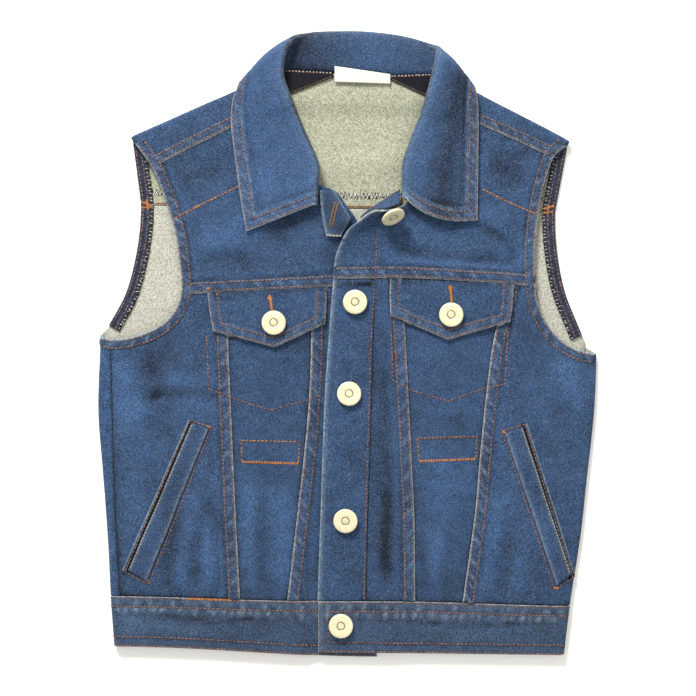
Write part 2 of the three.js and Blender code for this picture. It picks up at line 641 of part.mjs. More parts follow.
function collarPoint(u, v) {
  const line = Object.fromEntries(
    Object.entries(collarLines).map(([name, curve]) => [name, curve.getPoint(u)]),
  );
  const turn = THREE.MathUtils.clamp(line.turn.x, 0, 1);
  const under = ramp(turn);
  const tangent = collarLines.roll.getTangent(u);
  const away = new THREE.Vector3(-tangent.y, tangent.x, 0).normalize();
  const up = new THREE.Vector3(0, 0, 1);
  const angle = Math.PI * under;
  const tip = away.clone().multiplyScalar(-Math.cos(angle)).addScaledVector(up, Math.sin(angle));
  const face = up.clone().multiplyScalar(Math.cos(angle)).addScaledVector(away, Math.sin(angle));
  const onFront = (p) => (p.x < 7 ? leftFront : rightFront)(p.x, p.y);
  const roll = line.roll.clone();
  roll.z = lerp(onFront(roll) + ROLL_HEIGHT, COLLAR / 2 + ROLL_RADIUS, under);
  const seam = line.seam.clone();
  seam.z = lerp(onFront(seam) + FALL_ON_FRONT + 0.2, BACK + COLLAR_LIFT + 0.4, under);
  const edge = line.edge.clone();
  edge.z = lerp(onFront(edge) + FALL_ON_FRONT, COLLAR / 2, under);
  const centre = roll.clone().addScaledVector(tip, -ROLL_RADIUS);
  const step = Math.round(v * SECTION);
  if (step <= STAND_STEPS) {
    const end = centre.clone().addScaledVector(face, -ROLL_RADIUS);
    return seam.lerp(end, step / STAND_STEPS);
  }
  if (step < STAND_STEPS + TURN_STEPS) {
    const a = (Math.PI * (step - STAND_STEPS)) / TURN_STEPS;
    return centre
      .addScaledVector(face, -ROLL_RADIUS * Math.cos(a))
      .addScaledVector(tip, ROLL_RADIUS * Math.sin(a));
  }
  const begin = centre.addScaledVector(face, ROLL_RADIUS);
  const t = (step - STAND_STEPS - TURN_STEPS) / FALL_STEPS;
  const hump = 4 * t * (1 - t);
  return begin.lerp(edge, t).addScaledVector(line.bow, hump);
}
vest.add(
  wall(
    "collar",
    DENIM,
    steps(44),
    steps(SECTION),
    collarPoint,
    -COLLAR / 2,
    COLLAR / 2,
  ),
);

// Pocket flaps, on the panels below the chest seam
const FLAP = { width: 82, height: 40, sides: 6.5, bottom: 6.5, rise: 0.4 };
const ON_SEAMS = [CLOTH / 2 + SEAM_RISE + GAP, CLOTH / 2 + SEAM_RISE + GAP + 1.6];
vest.add(
  overlay(
    "flap_left",
    DENIM,
    {
      bottom: [[-94, 8.5], [-72.5, 3], [-51, -3], [-33.5, 5.5], [-16, 14]],
      left: [[-94, 8.5], [-96.2, 22], [-98, 35.2]],
      top: [[-98, 35.2], [-56, 37.2], [-14.6, 39.4]],
      right: [[-16, 14], [-15.2, 26], [-14.6, 39.4]],
    },
    lift(leftFront),
    ON_SEAMS,
    [6, 4],
    FLAP,
  ),
  overlay(
    "flap_right",
    DENIM,
    {
      bottom: [[29.6, 19.4], [50, 11], [70, 2.4], [92, 9], [113.8, 15]],
      left: [[29.6, 19.4], [29.2, 31], [29, 45.4]],
      top: [[29, 45.4], [73, 43.6], [116.4, 41]],
      right: [[113.8, 15], [115.2, 27], [116.4, 41]],
    },
    lift(rightFront),
    ON_SEAMS,
    [6, 4],
    FLAP,
  ),
);

// Slanted pocket welts
const box = (a, b, c, d) => ({ bottom: [a, b], right: [b, c], top: [d, c], left: [a, d] });
const ON_PANEL = CLOTH / 2 + GAP;
vest.add(
  overlay("welt_left", DENIM, box([-153.4, -158.6], [-140.6, -166.4], [-97.4, -60], [-109, -55.6]),
    onLeft, [ON_PANEL, ON_PANEL + 1.5], [3, 10]),
  overlay("welt_right", DENIM, box([146.4, -169.6], [156.4, -161.4], [122.4, -58.4], [110.4, -63]),
    onRight, [ON_PANEL, ON_PANEL + 1.5], [3, 10]),
);

// Facings that show inside the armholes, the back neck and the two front corners
const ON_BACK = [ON_PANEL, ON_PANEL + 1.0];
const FACING_WIDTH = 8.5;
function armholeFacing(name, edge, inward) {
  const inner = edge.map(([x, y]) => [x + inward * FACING_WIDTH, y - 1]);
  const sides = inward > 0 ? { left: edge, right: inner } : { left: inner, right: edge };
  const outline = {
    ...sides,
    bottom: [sides.left[0], sides.right[0]],
    top: [sides.left.at(-1), sides.right.at(-1)],
  };
  return overlay(name, DENIM, outline, lift(back), ON_BACK, [2, 12]);
}
vest.add(
  armholeFacing("armhole_facing_left",
    [[-167.2, 13.2], [-156, 34], [-149.8, 55], [-146, 76], [-144.8, 97], [-147.3, 117], [-150.3, 139]],
    1),
  armholeFacing("armhole_facing_right",
    [[164.2, 6.4], [153.2, 34], [148.6, 53], [146, 73], [145.6, 92], [149.2, 112], [153.8, 136]],
    -1),
  overlay("neck_facing_left", DENIM,
    {
      bottom: [[-49, 171], [-10, 184.6]],
      top: [[-49, 189.6], [-10, 188.2]],
      left: [[-49, 171], [-49, 189.6]],
      right: [[-10, 184.6], [-10, 188.2]],
    },
    lift(back), ON_BACK, [6, 2]),
  overlay("neck_facing_right", DENIM,
    {
      bottom: [[30, 183.4], [62, 170]],
      top: [[30, 186], [62, 185.6]],
      left: [[30, 183.4], [30, 186]],
      right: [[62, 170], [62, 185.6]],
    },
    lift(back), ON_BACK, [6, 2]),
  overlay("corner_facing_left", DENIM,
    {
      bottom: [[-15, 74.8], [-5, 75]],
      left: [[-15, 74.8], [-17, 86], [-18.4, 97], [-19.4, 107]],
      top: [[-19.4, 107], [-9.4, 107]],
      right: [[-5, 75], [-1.4, 81.6], [2, 88], [-9.4, 107]],
    },
    lift(leftFront), [ON_PANEL + 0.5, ON_PANEL + 2], [4, 6]),
);

// The right corner's facing falls away behind the curled edge
const lipTop = ({ x, y }) => [x, y + 1.6, rightFront(x, y) - 0.6];
const behindLip = [
  { near: lipTop(LIP[3]), far: [13, 92, 7.6] },
  { near: lipTop(LIP[4]), far: [20, 96.6, 6.4] },
  { near: lipTop(LIP[5]), far: [27.4, 102, 5.6] },
  { near: lipTop({ x: 36.4, y: 95.6 }), far: [36.8, 108, 5] },
];
const nearLine = new THREE.CatmullRomCurve3(
  behindLip.map(({ near }) => new THREE.Vector3(...near)));
const farLine = new THREE.CatmullRomCurve3(
  behindLip.map(({ far }) => new THREE.Vector3(...far)));
vest.add(
  wall("corner_facing_right", DENIM, steps(8), steps(3),
    (u, v) => nearLine.getPoint(u).lerp(farLine.getPoint(u), v), -0.5, 0.5),
);

// A blank label sewn into the neckline
vest.add(
  wall("label", LABEL, steps(4), steps(2),
    (u, v) => new THREE.Vector3(lerp(-9, 30, u), lerp(lerp(183, 181.8, u), lerp(194, 188.4, u), v),
      lerp(5.2, 5.9, v)), -0.5, 0.5),
);

// Tack buttons: a shank, a rimmed cap and a raised centre
const BUTTON_PROFILE = [
  [0, 0],
  [BUTTON.shank, 0],
  [BUTTON.shank, 1],
  [BUTTON.radius - 0.6, 1],
  [BUTTON.radius, 1.8],
  [BUTTON.radius - 0.8, BUTTON.height],
  [BUTTON.shank + 0.6, BUTTON.height - 1],
  [BUTTON.shank - 0.8, BUTTON.height - 0.4],
  [0, BUTTON.height - 0.4],
].map(([r, z]) => new THREE.Vector2(r, z));
const BUTTONS = [
  { name: "button_neck", at: [30.75, 89.6], on: () => 15.2, above: 0, up: [0.373, -0.8, 0.469], foot: 1.1 },
  { name: "button_front_1", at: [5.2, 29], on: rightFront, above: CLOTH / 2 },
  { name: "button_front_2", at: [1, -35.3], on: rightFront, above: CLOTH / 2 },
  { name: "button_front_3", at: [-1.2, -123.6], on: rightFront, above: CLOTH / 2 },
  { name: "button_waistband", at: [-4.6, -197], on: () => BAND.overlap, above: DOUBLE / 2 },
  { name: "button_flap_left", at: [-51.4, 14.4], on: leftFront, above: ON_SEAMS[1] },
  { name: "button_flap_right", at: [72.4, 20], on: rightFront, above: ON_SEAMS[1] },
];
const SLOPE_STEP = 3;
for (const { name, at, on, above, up, foot } of BUTTONS) {
  const [x, y] = at;
  const slopeX = (on(x + SLOPE_STEP, y) - on(x - SLOPE_STEP, y)) / (2 * SLOPE_STEP);
  const slopeY = (on(x, y + SLOPE_STEP) - on(x, y - SLOPE_STEP)) / (2 * SLOPE_STEP);
  const normal = up ? new THREE.Vector3(...up) : new THREE.Vector3(-slopeX, -slopeY, 1);
  normal.normalize();
  const profile = BUTTON_PROFILE.map(({ x: r, y: h }) => new THREE.Vector2(r, h === 0 ? -(foot ?? 0) : h));
  const button = mesh(name, new THREE.LatheGeometry(profile, 14), METAL, 0.35, 0.9);
  button.quaternion.setFromUnitVectors(new THREE.Vector3(0, 1, 0), normal);
  button.position.set(x, y, on(x, y)).addScaledVector(normal, above + GAP + 0.1);
  vest.add(button);
}

export default vest;
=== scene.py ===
"""A child's denim vest laid flat on its back, seen from straight above.

Lengths are in millimetres until a mesh is made. +Z is up, +Y is towards the collar, and left
and right are as seen from above. Each cloth piece lies on the surface its CAD solid has.
"""

import math

import bmesh
import bpy
import numpy as np
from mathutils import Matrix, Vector
from mathutils.bvhtree import BVHTree


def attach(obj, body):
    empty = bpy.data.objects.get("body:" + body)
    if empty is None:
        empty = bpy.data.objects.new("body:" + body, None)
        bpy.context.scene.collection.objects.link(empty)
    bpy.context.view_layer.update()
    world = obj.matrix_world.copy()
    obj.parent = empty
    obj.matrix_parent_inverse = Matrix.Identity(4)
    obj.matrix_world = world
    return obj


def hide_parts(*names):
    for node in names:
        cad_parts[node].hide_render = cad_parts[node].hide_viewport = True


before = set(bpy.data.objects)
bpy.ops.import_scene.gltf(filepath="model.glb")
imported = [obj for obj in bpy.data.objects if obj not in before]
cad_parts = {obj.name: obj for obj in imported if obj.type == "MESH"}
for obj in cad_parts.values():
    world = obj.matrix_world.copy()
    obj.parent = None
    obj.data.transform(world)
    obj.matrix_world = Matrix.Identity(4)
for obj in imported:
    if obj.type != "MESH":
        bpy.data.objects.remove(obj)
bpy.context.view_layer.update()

MM = 0.001


def table(columns, *rows):
    """A list of rows, each a dictionary by the names of the columns."""
    names = columns.split()
    return [dict(zip(names, row)) for row in rows]


# Heights and thicknesses, the same as the CAD part's
CLOTH = 1.2
DOUBLE = 2.2
COLLAR = 2.0
FRONT = 5.0
BACK = CLOTH / 2
FOLD = (FRONT - BACK) / 2
FOLD_INSET = FOLD + CLOTH / 2
SEAM_RISE = 0.8
COLLAR_LIFT = COLLAR + 0.4
UNDERLAP = 2.1
PLACKET_RISE = 1.5
GAP = 0.3

# Sewing
ROWS = (1.2, 6.7)  # from a seam's edge to its two rows of stitches
CLOSE_ROWS = (1.2, 5.9)  # the same at the armholes and shoulders
COLLAR_ROWS = (1.6, 6.7)
WAIST_ROWS = (0.9, 7.0)
STITCH = 2.8  # from one stitch to the next
THREAD = 0.9  # across a stitch

# Outline of the body below the armholes: side folds, and the left side seam on the front
BODY = table(
    "y left seam right",
    (-222, -162.6, -157.5, 151.2),
    (-180, -165.8, -159, 156.4),
    (-138, -168, -161.5, 163),
    (-92, -171.4, -163.5, 168.2),
    (-47, -174.8, -164.5, 173),
    (-2, -173.4, -166, 174.6),
    (40, -172, -165, 174),
)

# The right front's free edge, from hem to chest. The left front drops under it.
PLACKET = table(
    "y x",
    (-220, -20),
    (-177, -21),
    (-124, -19),
    (-40, -16),
    (44, -10),
    (60, -8.4),
    (79, 0),
    (91, 14),
    (105, 26),
)

# Its upper corner curls up: the edge from the chest seam to the collar, and how far it rises
LIP = table(
    "x y rise",
    (-9.6, 52, 0),
    (-7, 65, 1.5),
    (0, 79, 4),
    (9, 86, 6),
    (17, 91, 9),
    (27, 92, 12),
    (38, 96, 6),
)
LIP_WIDTH = 6

# The largest soft folds, shared with the CAD part
CREASES = table(
    "line width rise",
    ([(84, 96), (130, 50)], 9, 1.5),
    ([(18, 62), (122, 54)], 6, 1.0),
    ([(-112, 58), (-52, 92)], 12, 1.0),
    ([(-132, -24), (-90, -38)], 8, 1.3),
    ([(-112, -100), (-90, -172)], 9, 1.0),
    ([(24, 20), (27, -168)], 7, -0.8),
    ([(-57, -95), (-53, -172)], 9, 0.8),
    ([(66, -80), (62, -168)], 12, 0.7),
    ([(140, -20), (150, -70)], 12, 0.9),
    ([(-150, -40), (-146, -150)], 10, 0.7),
)
CREASE_END = 14
FOLD_END = 10

# Folds of the hidden back, which rise off the surface
BACK_FOLDS = table(
    "line width rise",
    ([(-120, -40), (-60, -20), (10, -26)], 9, 1.17),
    ([(-90, -120), (-40, -150), (20, -160)], 8, 0.91),
    ([(40, 20), (96, -10), (140, -60)], 10, 1.3),
    ([(60, -100), (100, -120), (130, -160)], 7, 0.91),
    ([(-130, 40), (-100, 10), (-84, -10)], 7, 0.78),
    ([(-30, 80), (-10, 30), (6, -12)], 11, 1.04),
    ([(-80, 130), (-30, 120), (40, 128), (90, 118)], 9, 1.04),
    ([(100, 80), (80, 50), (84, 10)], 8, 0.91),
    ([(-20, -60), (0, -100), (-6, -140)], 6, 0.78),
)

# Smaller folds: ridges and troughs along lines, in the order of the panels
FOLDS = table(
    "line width rise",
    ([(-144, -42), (-131, -35), (-99, -35), (-87, -42)], 4, -1.3),
    ([(-141, 0), (-138, -18), (-133, -30)], 6, -0.78),
    ([(-156, -8), (-150, -30), (-146, -60)], 7, 0.91),
    ([(-127, -176), (-124, -140), (-120, -112)], 5, -0.91),
    ([(-118, -176), (-114, -145), (-108, -120)], 5, 0.78),
    ([(-107, -176), (-105, -140), (-98, -108)], 4.5, -0.91),
    ([(-96, -176), (-98, -150), (-96, -120)], 4, 0.65),
    ([(-88, -176), (-92, -140), (-95, -100)], 4.5, -0.78),
    ([(-66, -176), (-69, -130), (-70, -92)], 5, 0.78),
    ([(-58, -176), (-60, -140), (-58, -104)], 5, -1.04),
    ([(-45, -176), (-46, -140), (-42, -100)], 5, 0.78),
    ([(52, -178), (54, -160), (52, -140)], 4, -0.78),
    ([(60, -178), (61, -158), (63, -130)], 5, 0.78),
    ([(70, -178), (69, -150), (72, -128)], 5, -0.65),
    ([(97, -178), (102, -140), (106, -104)], 6, 0.91),
    ([(108, -178), (112, -150), (116, -118)], 6, -0.78),
    ([(118, -178), (121, -160), (124, -140)], 5, 0.65),
    ([(147, -8), (160, -32), (171, -56)], 7, 1.17),
    ([(136, -26), (146, -44), (154, -66)], 8, -1.04),
    ([(30, 66), (70, 60), (109, 57), (122, 53)], 4, -1.56),
    ([(88, 84), (100, 79), (112, 69), (122, 54)], 4, -1.95),
    ([(96, 130), (110, 122), (126, 112)], 8, -0.78),
    ([(-108, 56), (-90, 60), (-66, 60)], 5, -1.04),
    ([(-60, 66), (-44, 84), (-34, 94)], 9, -0.91),
    ([(-118, 112), (-100, 116), (-84, 124)], 7, -0.65),
    ([(30, -100), (27, -140), (28, -176)], 5, -0.78),
    ([(-132, -190.5), (-112, -192), (-96, -195.5), (-80, -194), (-58, -192)], 1.4, -0.9),
    ([(40, -194), (76, -197.5), (124, -196)], 1.4, -0.8),
    ([(-150, -196), (-120, -199), (-96, -203)], 2.6, 0.8),
    ([(36, 30), (37, -60), (36, -120)], 5, 0.65),
)

# Areas lighter (above 0) or darker (below 0): partly faded cloth or kept dye, partly painted light and
# shade, such as the light on the left side fold and the shade under the collar's edge
FADES_AND_SHADES = table(
    "at reach tone",
    ((-163, -30), (9, 34), 0.75),
    ((-150, -46), (12, 8), 0.45),
    ((-134, -14), (15, 20), -0.23),
    ((-113, -6), (12, 14), -0.11),
    ((-121, -24), (8, 6), 0.3),
    ((-110, -46), (22, 6), 0.45),
    ((-150, -72), (10, 10), -0.15),
    ((-128, -120), (22, 26), -0.1),
    ((-104, -160), (14, 14), -0.11),
    ((-55, -140), (7, 40), -0.18),
    ((-41, -130), (6, 34), 0.35),
    ((-70, -120), (6, 34), 0.4),
    ((-56, -18), (20, 12), -0.07),
    ((-28, -120), (6, 40), 0.3),
    ((-8, -50), (8, 46), 0.2),
    ((0, -150), (12, 14), -0.14),
    ((24, -150), (6, 30), -0.18),
    ((26, -30), (7, 40), -0.12),
    ((70, -28), (9, 16), -0.15),
    ((94, -12), (10, 14), 0.25),
    ((64, -125), (8, 34), 0.3),
    ((55, -166), (8, 10), -0.15),
    ((112, -115), (10, 44), 0.4),
    ((154, -14), (12, 24), 0.5),
    ((136, -34), (10, 16), -0.15),
    ((122, 6), (8, 16), -0.15),
    ((-135, -36), (26, 20), -0.2),
    ((-95, 69), (22, 20), -0.14),
    ((154, -108), (10, 26), -0.11),
    ((110, 132), (16, 15), -0.27),
    ((106, 78), (14, 7), -0.17),
    ((62, 74), (20, 8), 0.3),
    ((18, 72), (12, 9), -0.14),
    ((-104, 122), (18, 10), -0.11),
    ((-98, 76), (14, 12), 0.25),
    ((-54, 78), (22, 7), -0.12),
    ((-76, 58), (20, 4), -0.11),
    ((-152, -196), (9, 10), 0.55),
    ((132, -202), (20, 8), -0.11),
    ((-60, -200), (34, 7), -0.12),
)

# Seams that draw the cloth up in small ripples beside them
RIPPLED = [
    [(-115, 37), (-12, 41)],
    [(-10, 46), (131, 40)],
    [(-84, 37), (-82, -40), (-75, -180)],
    [(-14, 40), (-25, -60), (-38, -181)],
    [(38, 43), (44, -40), (46, -181)],
    [(112, 40), (97, -40), (82, -181)],
    [(-160, -178), (-21, -181), (154, -181)],
    [(-137, 123), (-81, 151), (-56, 161)],
    [(66, 165), (144, 130)],
    [(-166, -2), (-134, 9.6), (-121.6, 20), (-115, 37), (-120.5, 78), (-137, 123)],
    [(172, -8), (148, 3.4), (131.6, 39), (132.4, 84), (144, 130)],
]

# The collar, from its left front end round the back of the neck to its right front end.
COLLAR_STATIONS = table(
    "roll seam edge turn bow",
    ([-22, 96.5], [-31, 97], [-70.8, 78], 0, [0, 0]),
    ([-21, 112], [-32, 112], [-73.7, 95], 0, [0, 0]),
    ([-21, 126], [-33, 127], [-76.2, 111], 0, [0, 0]),
    ([-30, 147], [-41, 147], [-79.2, 134], 0, [0, 0]),
    ([-38.5, 168], [-48, 166], [-81.5, 154], 0, [0, 0]),
    ([-45, 187], [-53, 179], [-80.5, 168], 0, [0, 0]),
    ([-43, 203], [-54, 187.5], [-77.5, 176.5], 0.04, [0, 2]),
    ([-35, 214], [-50, 191], [-73.6, 182.8], 0.5, [-1, 2.5]),
    ([-25, 217.4], [-44, 191.2], [-66, 180], 0.97, [-1, 1]),
    ([-8, 218.2], [-24, 190.4], [-44, 175], 1, [0, 0]),
    ([12, 218], [5, 189.2], [0, 174], 1, [0, 0]),
    ([34, 215.6], [32, 187.4], [38, 173], 1, [0, 0]),
    ([51, 211.6], [53, 187.6], [77, 178], 0.97, [1, 1]),
    ([61.5, 206.5], [63, 187.5], [86.8, 180.2], 0.5, [1, 1]),
    ([61.5, 198], [68, 183.5], [90, 173.5], 0.04, [1, 1]),
    ([57.5, 180], [66.5, 175], [91.4, 165], 0, [0, 0]),
    ([52, 161], [62.5, 160], [91.6, 147], 0, [0, 0]),
    ([45, 143], [55.5, 143], [91.4, 128], 0, [0, 0]),
    ([39.4, 127], [49.5, 127], [91.2, 111], 0, [0, -1]),
    ([38.6, 113], [48.5, 113], [91, 97], 0, [-1, -3]),
    ([38.8, 101], [48, 100], [91, 86], 0, [-4, -6]),
)
ROLL_RADIUS = 1.4
ROLL_HEIGHT = 4.2
FALL_ON_FRONT = CLOTH / 2 + SEAM_RISE + GAP + COLLAR / 2

# Back yoke: each column runs up the back to its top, the neck's edge or the shoulder's fold, and
# there on to its front seam
YOKE_COLUMNS = table(
    "foot top seam",
    ((-145.2, 97.3), (-152, 145), (-136.9, 123)),
    ((-138, 97.2), (-141.5, 149.6), (-128, 127.4)),
    ((-124, 97), (-126, 156.4), (-115, 134.2)),
    ((-108, 96.7), (-110, 163.6), (-101, 141.2)),
    ((-93, 96.4), (-95, 170.2), (-88, 147.8)),
    ((-79, 96.2), (-80, 176.4), (-75, 154.2)),
    ((-67, 96), (-68, 181), (-65, 158.6)),
    ((-55, 95.8), (-57, 185.6), (-57.6, 161)),
    ((-42, 95.6), (-46, 190.4), None),
    ((-28, 95.4), (-28, 190), None),
    ((-12, 95.1), (-11, 189.2), None),
    ((5, 94.8), (5, 188.2), None),
    ((20, 94.5), (20, 187.2), None),
    ((36, 94.2), (36, 186.4), None),
    ((50, 94), (54, 186.4), None),
    ((64, 93.7), (70, 184), (67.4, 165)),
    ((76, 93.5), (80, 180), (78, 160)),
    ((90, 93.2), (93, 174.6), (90, 154.6)),
    ((104, 93), (108, 167), (103, 148.8)),
    ((120, 92.7), (124, 158.8), (117, 142.6)),
    ((135, 92.5), (140, 150.6), (131, 136.2)),
    ((146, 92.3), (156, 142), (144.1, 130)),
)
SHOULDER_NORMAL = {"left": (-0.408, 0.913), "right": (0.448, 0.894)}

WAIST = {"back": DOUBLE / 2, "front": 5.6, "overlap": 6.5, "underlap": 3.7}
HEM = {"left": -212, "left_end": -219.4, "right": -218, "right_end": -215.8}
WAIST_ENDS = {"left": 20.6, "right": -20.4}


# Curves and lines


def ramp(t):
    t = np.clip(t, 0, 1)
    return t * t * (3 - 2 * t)


def lerp(a, b, t):
    return a + (b - a) * t


def bell(t):
    return np.exp(-(t**2))


def hermite(p, m, q, n, t):
    t2, t3 = t * t, t * t * t
    return p * (2 * t3 - 3 * t2 + 1) + m * (t3 - 2 * t2 + t) + q * (3 * t2 - 2 * t3) + n * (t3 - t2)


def column(table, key, name):
    """A column of a table as a smooth function of its key column."""
    keys = np.array([row[key] for row in table], float)
    values = np.array([row[name] for row in table], float)
    order = np.arange(len(keys))
    before = np.maximum(order - 1, 0)
    after = np.minimum(order + 1, len(keys) - 1)
    slopes = (values[after] - values[before]) / (keys[after] - keys[before])

    def at(k):
        i = np.clip(np.searchsorted(keys, k, side="right") - 1, 0, len(keys) - 2)
        span = keys[i + 1] - keys[i]
        t = np.clip((k - keys[i]) / span, 0, 1)
        return hermite(values[i], slopes[i] * span, values[i + 1], slopes[i + 1] * span, t)

    return at


def curve(points, corners=()):
    """A smooth curve through points, each stretch an equal share of t, sharp at its corners."""
    points = np.array(points, float)
    last = len(points) - 1
    ends = {0, last, *corners}

    def slope(i, ahead):
        if i in ends:
            return points[i + 1] - points[i] if (ahead and i < last) else points[i] - points[i - 1]
        return (points[i + 1] - points[i - 1]) / 2

    starts = np.array([slope(i, True) for i in range(last)])
    stops = np.array([slope(i + 1, False) for i in range(last)])

    def at(t):
        t = np.clip(np.asarray(t, float), 0, 1) * last
        i = np.minimum(t.astype(int), last - 1)
        f = (t - i)[..., None]
        return hermite(points[i], starts[i], points[i + 1], stops[i], f)

    return at


def unit(vectors):
    return vectors / np.maximum(np.linalg.norm(vectors, axis=-1, keepdims=True), 1e-9)


def travelled(points):
    """How far along a line each of its points is."""
    return np.concatenate([[0], np.cumsum(np.linalg.norm(np.diff(points, axis=0), axis=1))])


def between(marks, along, values):
    """A line's points, or other values along it, at the given marks."""
    return np.stack([np.interp(marks, along, one) for one in np.transpose(values)], axis=1)


def even(points, step, corners=()):
    """Points spaced evenly along a smooth curve."""
    fine = curve(points, corners)(np.linspace(0, 1, 60 * len(points)))
    along = travelled(fine)
    marks = np.linspace(0, along[-1], max(2, int(round(along[-1] / step)) + 1))
    return between(marks, along, fine)


def near_line(x, y, points):
    """Distance from plan points to a line, and how far along it the nearest point is."""
    p = np.array(points, float)
    start, step = p[:-1], np.diff(p, axis=0)
    length = np.hypot(*step.T)
    before = np.concatenate([[0], np.cumsum(length)])[:-1]
    dx = np.ravel(x)[:, None] - start[:, 0]
    dy = np.ravel(y)[:, None] - start[:, 1]
    t = np.clip((dx * step[:, 0] + dy * step[:, 1]) / length**2, 0, 1)
    away = np.hypot(dx - t * step[:, 0], dy - t * step[:, 1])
    best = np.argmin(away, axis=1)
    rows = np.arange(len(best))
    along = before[best] + t[rows, best] * length[best]
    return away[rows, best].reshape(np.shape(x)), along.reshape(np.shape(x))


def ripple(s, seed):
    """An uneven wave along a seam, from about -1 to 1."""
    waves = ((5.3, 0.45), (8.1, 0.5), (12.7, 0.45), (3.1, 0.2))
    return sum(
        size * np.sin(2 * np.pi * s / length + seed * (k + 1.7)) for k, (length, size) in enumerate(waves)
    )


left_fold = column(BODY, "y", "left")
side_seam = column(BODY, "y", "seam")
right_fold = column(BODY, "y", "right")
placket_edge = column(PLACKET, "y", "x")

rng = np.random.default_rng(11)
SWELLS = [
    (rng.uniform(0, 2 * np.pi), rng.uniform(0, 2 * np.pi), length)
    for length in (14, 17, 21, 26, 31, 37, 45, 56, 70)
]


def swell(x, y):
    """The cloth's gentle unevenness."""
    total = 0
    for heading, phase, length in SWELLS:
        along = x * math.cos(heading) + y * math.sin(heading)
        total = total + 0.0042 * length * np.sin(2 * np.pi * along / length + phase)
    return total


# Heights of the cloth


def collar_lift(x, y):
    return COLLAR_LIFT * ramp((y - 158) / 13) * ramp((93 - np.abs(x - 7)) / 12)


def fold_height(x, y, fold, end):
    """How far a soft fold lifts the cloth. It fades out towards both ends of its line."""
    away, along = near_line(x, y, fold["line"])
    left = travelled(fold["line"])[-1] - along
    return fold["rise"] * bell(away / fold["width"]) * ramp(along / end) * ramp(left / end)


def crease_height(x, y):
    total = swell(x, y)
    for folds, end in ((CREASES, CREASE_END), (FOLDS, FOLD_END)):
        for fold in folds:
            total = total + fold_height(x, y, fold, end)
    for seed, line in enumerate(RIPPLED):
        away, along = near_line(x, y, line)
        total = total + 0.3 * bell(away / 7) * ripple(along, seed)
    room = np.minimum(x - left_fold(y), right_fold(y) - x) - FOLD_INSET
    return total * ramp(room / 12)


def front(x, y):
    return FRONT + collar_lift(x, y) + crease_height(x, y)


def left_front(x, y):
    return front(x, y) - UNDERLAP * ramp((x - placket_edge(y) + 12) / 11)


def lip_rise(x, y):
    edge = [(row["x"], row["y"]) for row in LIP]
    away, along = near_line(x, y, edge)
    rise = np.interp(along, travelled(edge), [row["rise"] for row in LIP])
    return rise * np.exp(-((away / LIP_WIDTH) ** 1.4))


def right_front(x, y):
    return front(x, y) + PLACKET_RISE * ramp((42 - x) / 20) + lip_rise(x, y)


def back(x, y):
    room = ramp((np.minimum(x - left_fold(y), right_fold(y) - x) - 8) / 14)
    folds = sum(fold_height(x, y, fold, CREASE_END) for fold in BACK_FOLDS)
    return BACK + collar_lift(x, y) + folds * room


def fade_and_shade(points):
    """How light the front's cloth is at points: painted light on its ridges and painted shade in its
    troughs, with the listed areas of fading and of painted light and shade.
    """
    x, y = points[..., 0], points[..., 1]
    tone = 0.62 * crease_height(x, y) - 0.45 * swell(x, y)
    for area in FADES_AND_SHADES:
        (cx, cy), (rx, ry) = area["at"], area["reach"]
        tone = tone + area["tone"] * bell(np.hypot((x - cx) / rx, (y - cy) / ry))
    return tone


def lift(height):
    """A surface over the plan: x and y to points in space."""
    return lambda x, y: np.stack([x, y, height(x, y)], axis=-1)


def round_fold(x, y, flat, near, far):
    """Carries plan points round a side fold, from the near layer to the far one."""
    hand = np.sign(x)
    edge = np.where(hand < 0, -left_fold(y), right_fold(y))
    r = abs(near - far) / 2
    start = edge - FOLD_INSET
    past = np.abs(x) - start
    turn = np.clip(past / r, 0, np.pi)
    over = past > np.pi * r
    middle = (near + far) / 2
    out = np.where(over, start - past + np.pi * r, start + r * np.sin(turn))
    height = np.where(past <= 0, flat(x, y), middle + (near - middle) * np.cos(turn))
    return np.stack([np.where(past <= 0, x, hand * out), y, height], axis=-1)


def on_left(x, y):
    return round_fold(x, y, left_front, FRONT, BACK)


def on_right(x, y):
    return round_fold(x, y, right_front, FRONT, BACK)


def on_back(x, y):
    return round_fold(x, y, back, BACK, FRONT)


def beyond_fold(fold, x):
    return 2 * (abs(fold) - FOLD_INSET) + np.pi * FOLD - abs(x)


def waist_top(x):
    x = np.asarray(x, float)
    return lerp(-176.8, -180.3, ramp((x + 166) / 146)) - 3.3 * ramp((x - 20) / 140)


def coons(outline):
    """A patch of plan between four lines: bottom and top run left to right, sides upwards."""
    corners = outline.get("corners", {})
    bottom, top, left, right = (
        curve(outline[side], corners.get(side, ())) for side in ("bottom", "top", "left", "right")
    )

    def at(u, v):
        b, t, l, r = bottom(u), top(u), left(v), right(v)
        u, v = u[..., None], v[..., None]
        ends = lerp(lerp(bottom(0), bottom(1), u), lerp(top(0), top(1), u), v)
        return lerp(b, t, v) + lerp(l, r, u) - ends

    return at


# Meshes


def make_object(name, points, faces, materials, face_materials=None, layers=None, cloth=None):
    mesh = bpy.data.meshes.new(name)
    mesh.from_pydata((np.asarray(points) * MM).tolist(), [], faces)
    for material in materials:
        mesh.materials.append(material)
    if face_materials is not None:
        mesh.polygons.foreach_set("material_index", np.asarray(face_materials, np.int32))
    for layer, values in (layers or {}).items():
        attribute = mesh.attributes.new(layer, "FLOAT", "POINT")
        attribute.data.foreach_set("value", np.asarray(values, np.float32).ravel())
    if cloth is not None:
        attribute = mesh.attributes.new("cloth", "FLOAT_VECTOR", "POINT")
        attribute.data.foreach_set("vector", np.asarray(cloth, np.float32).ravel())
    mesh.polygons.foreach_set("use_smooth", np.ones(len(faces), bool))
    mesh.update()
    made = bpy.data.objects.new(name, mesh)
    bpy.context.collection.objects.link(made)
    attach(made, "root")
    return made


def grid_normals(points):
    return unit(np.cross(np.gradient(points, axis=1), np.gradient(points, axis=0)))


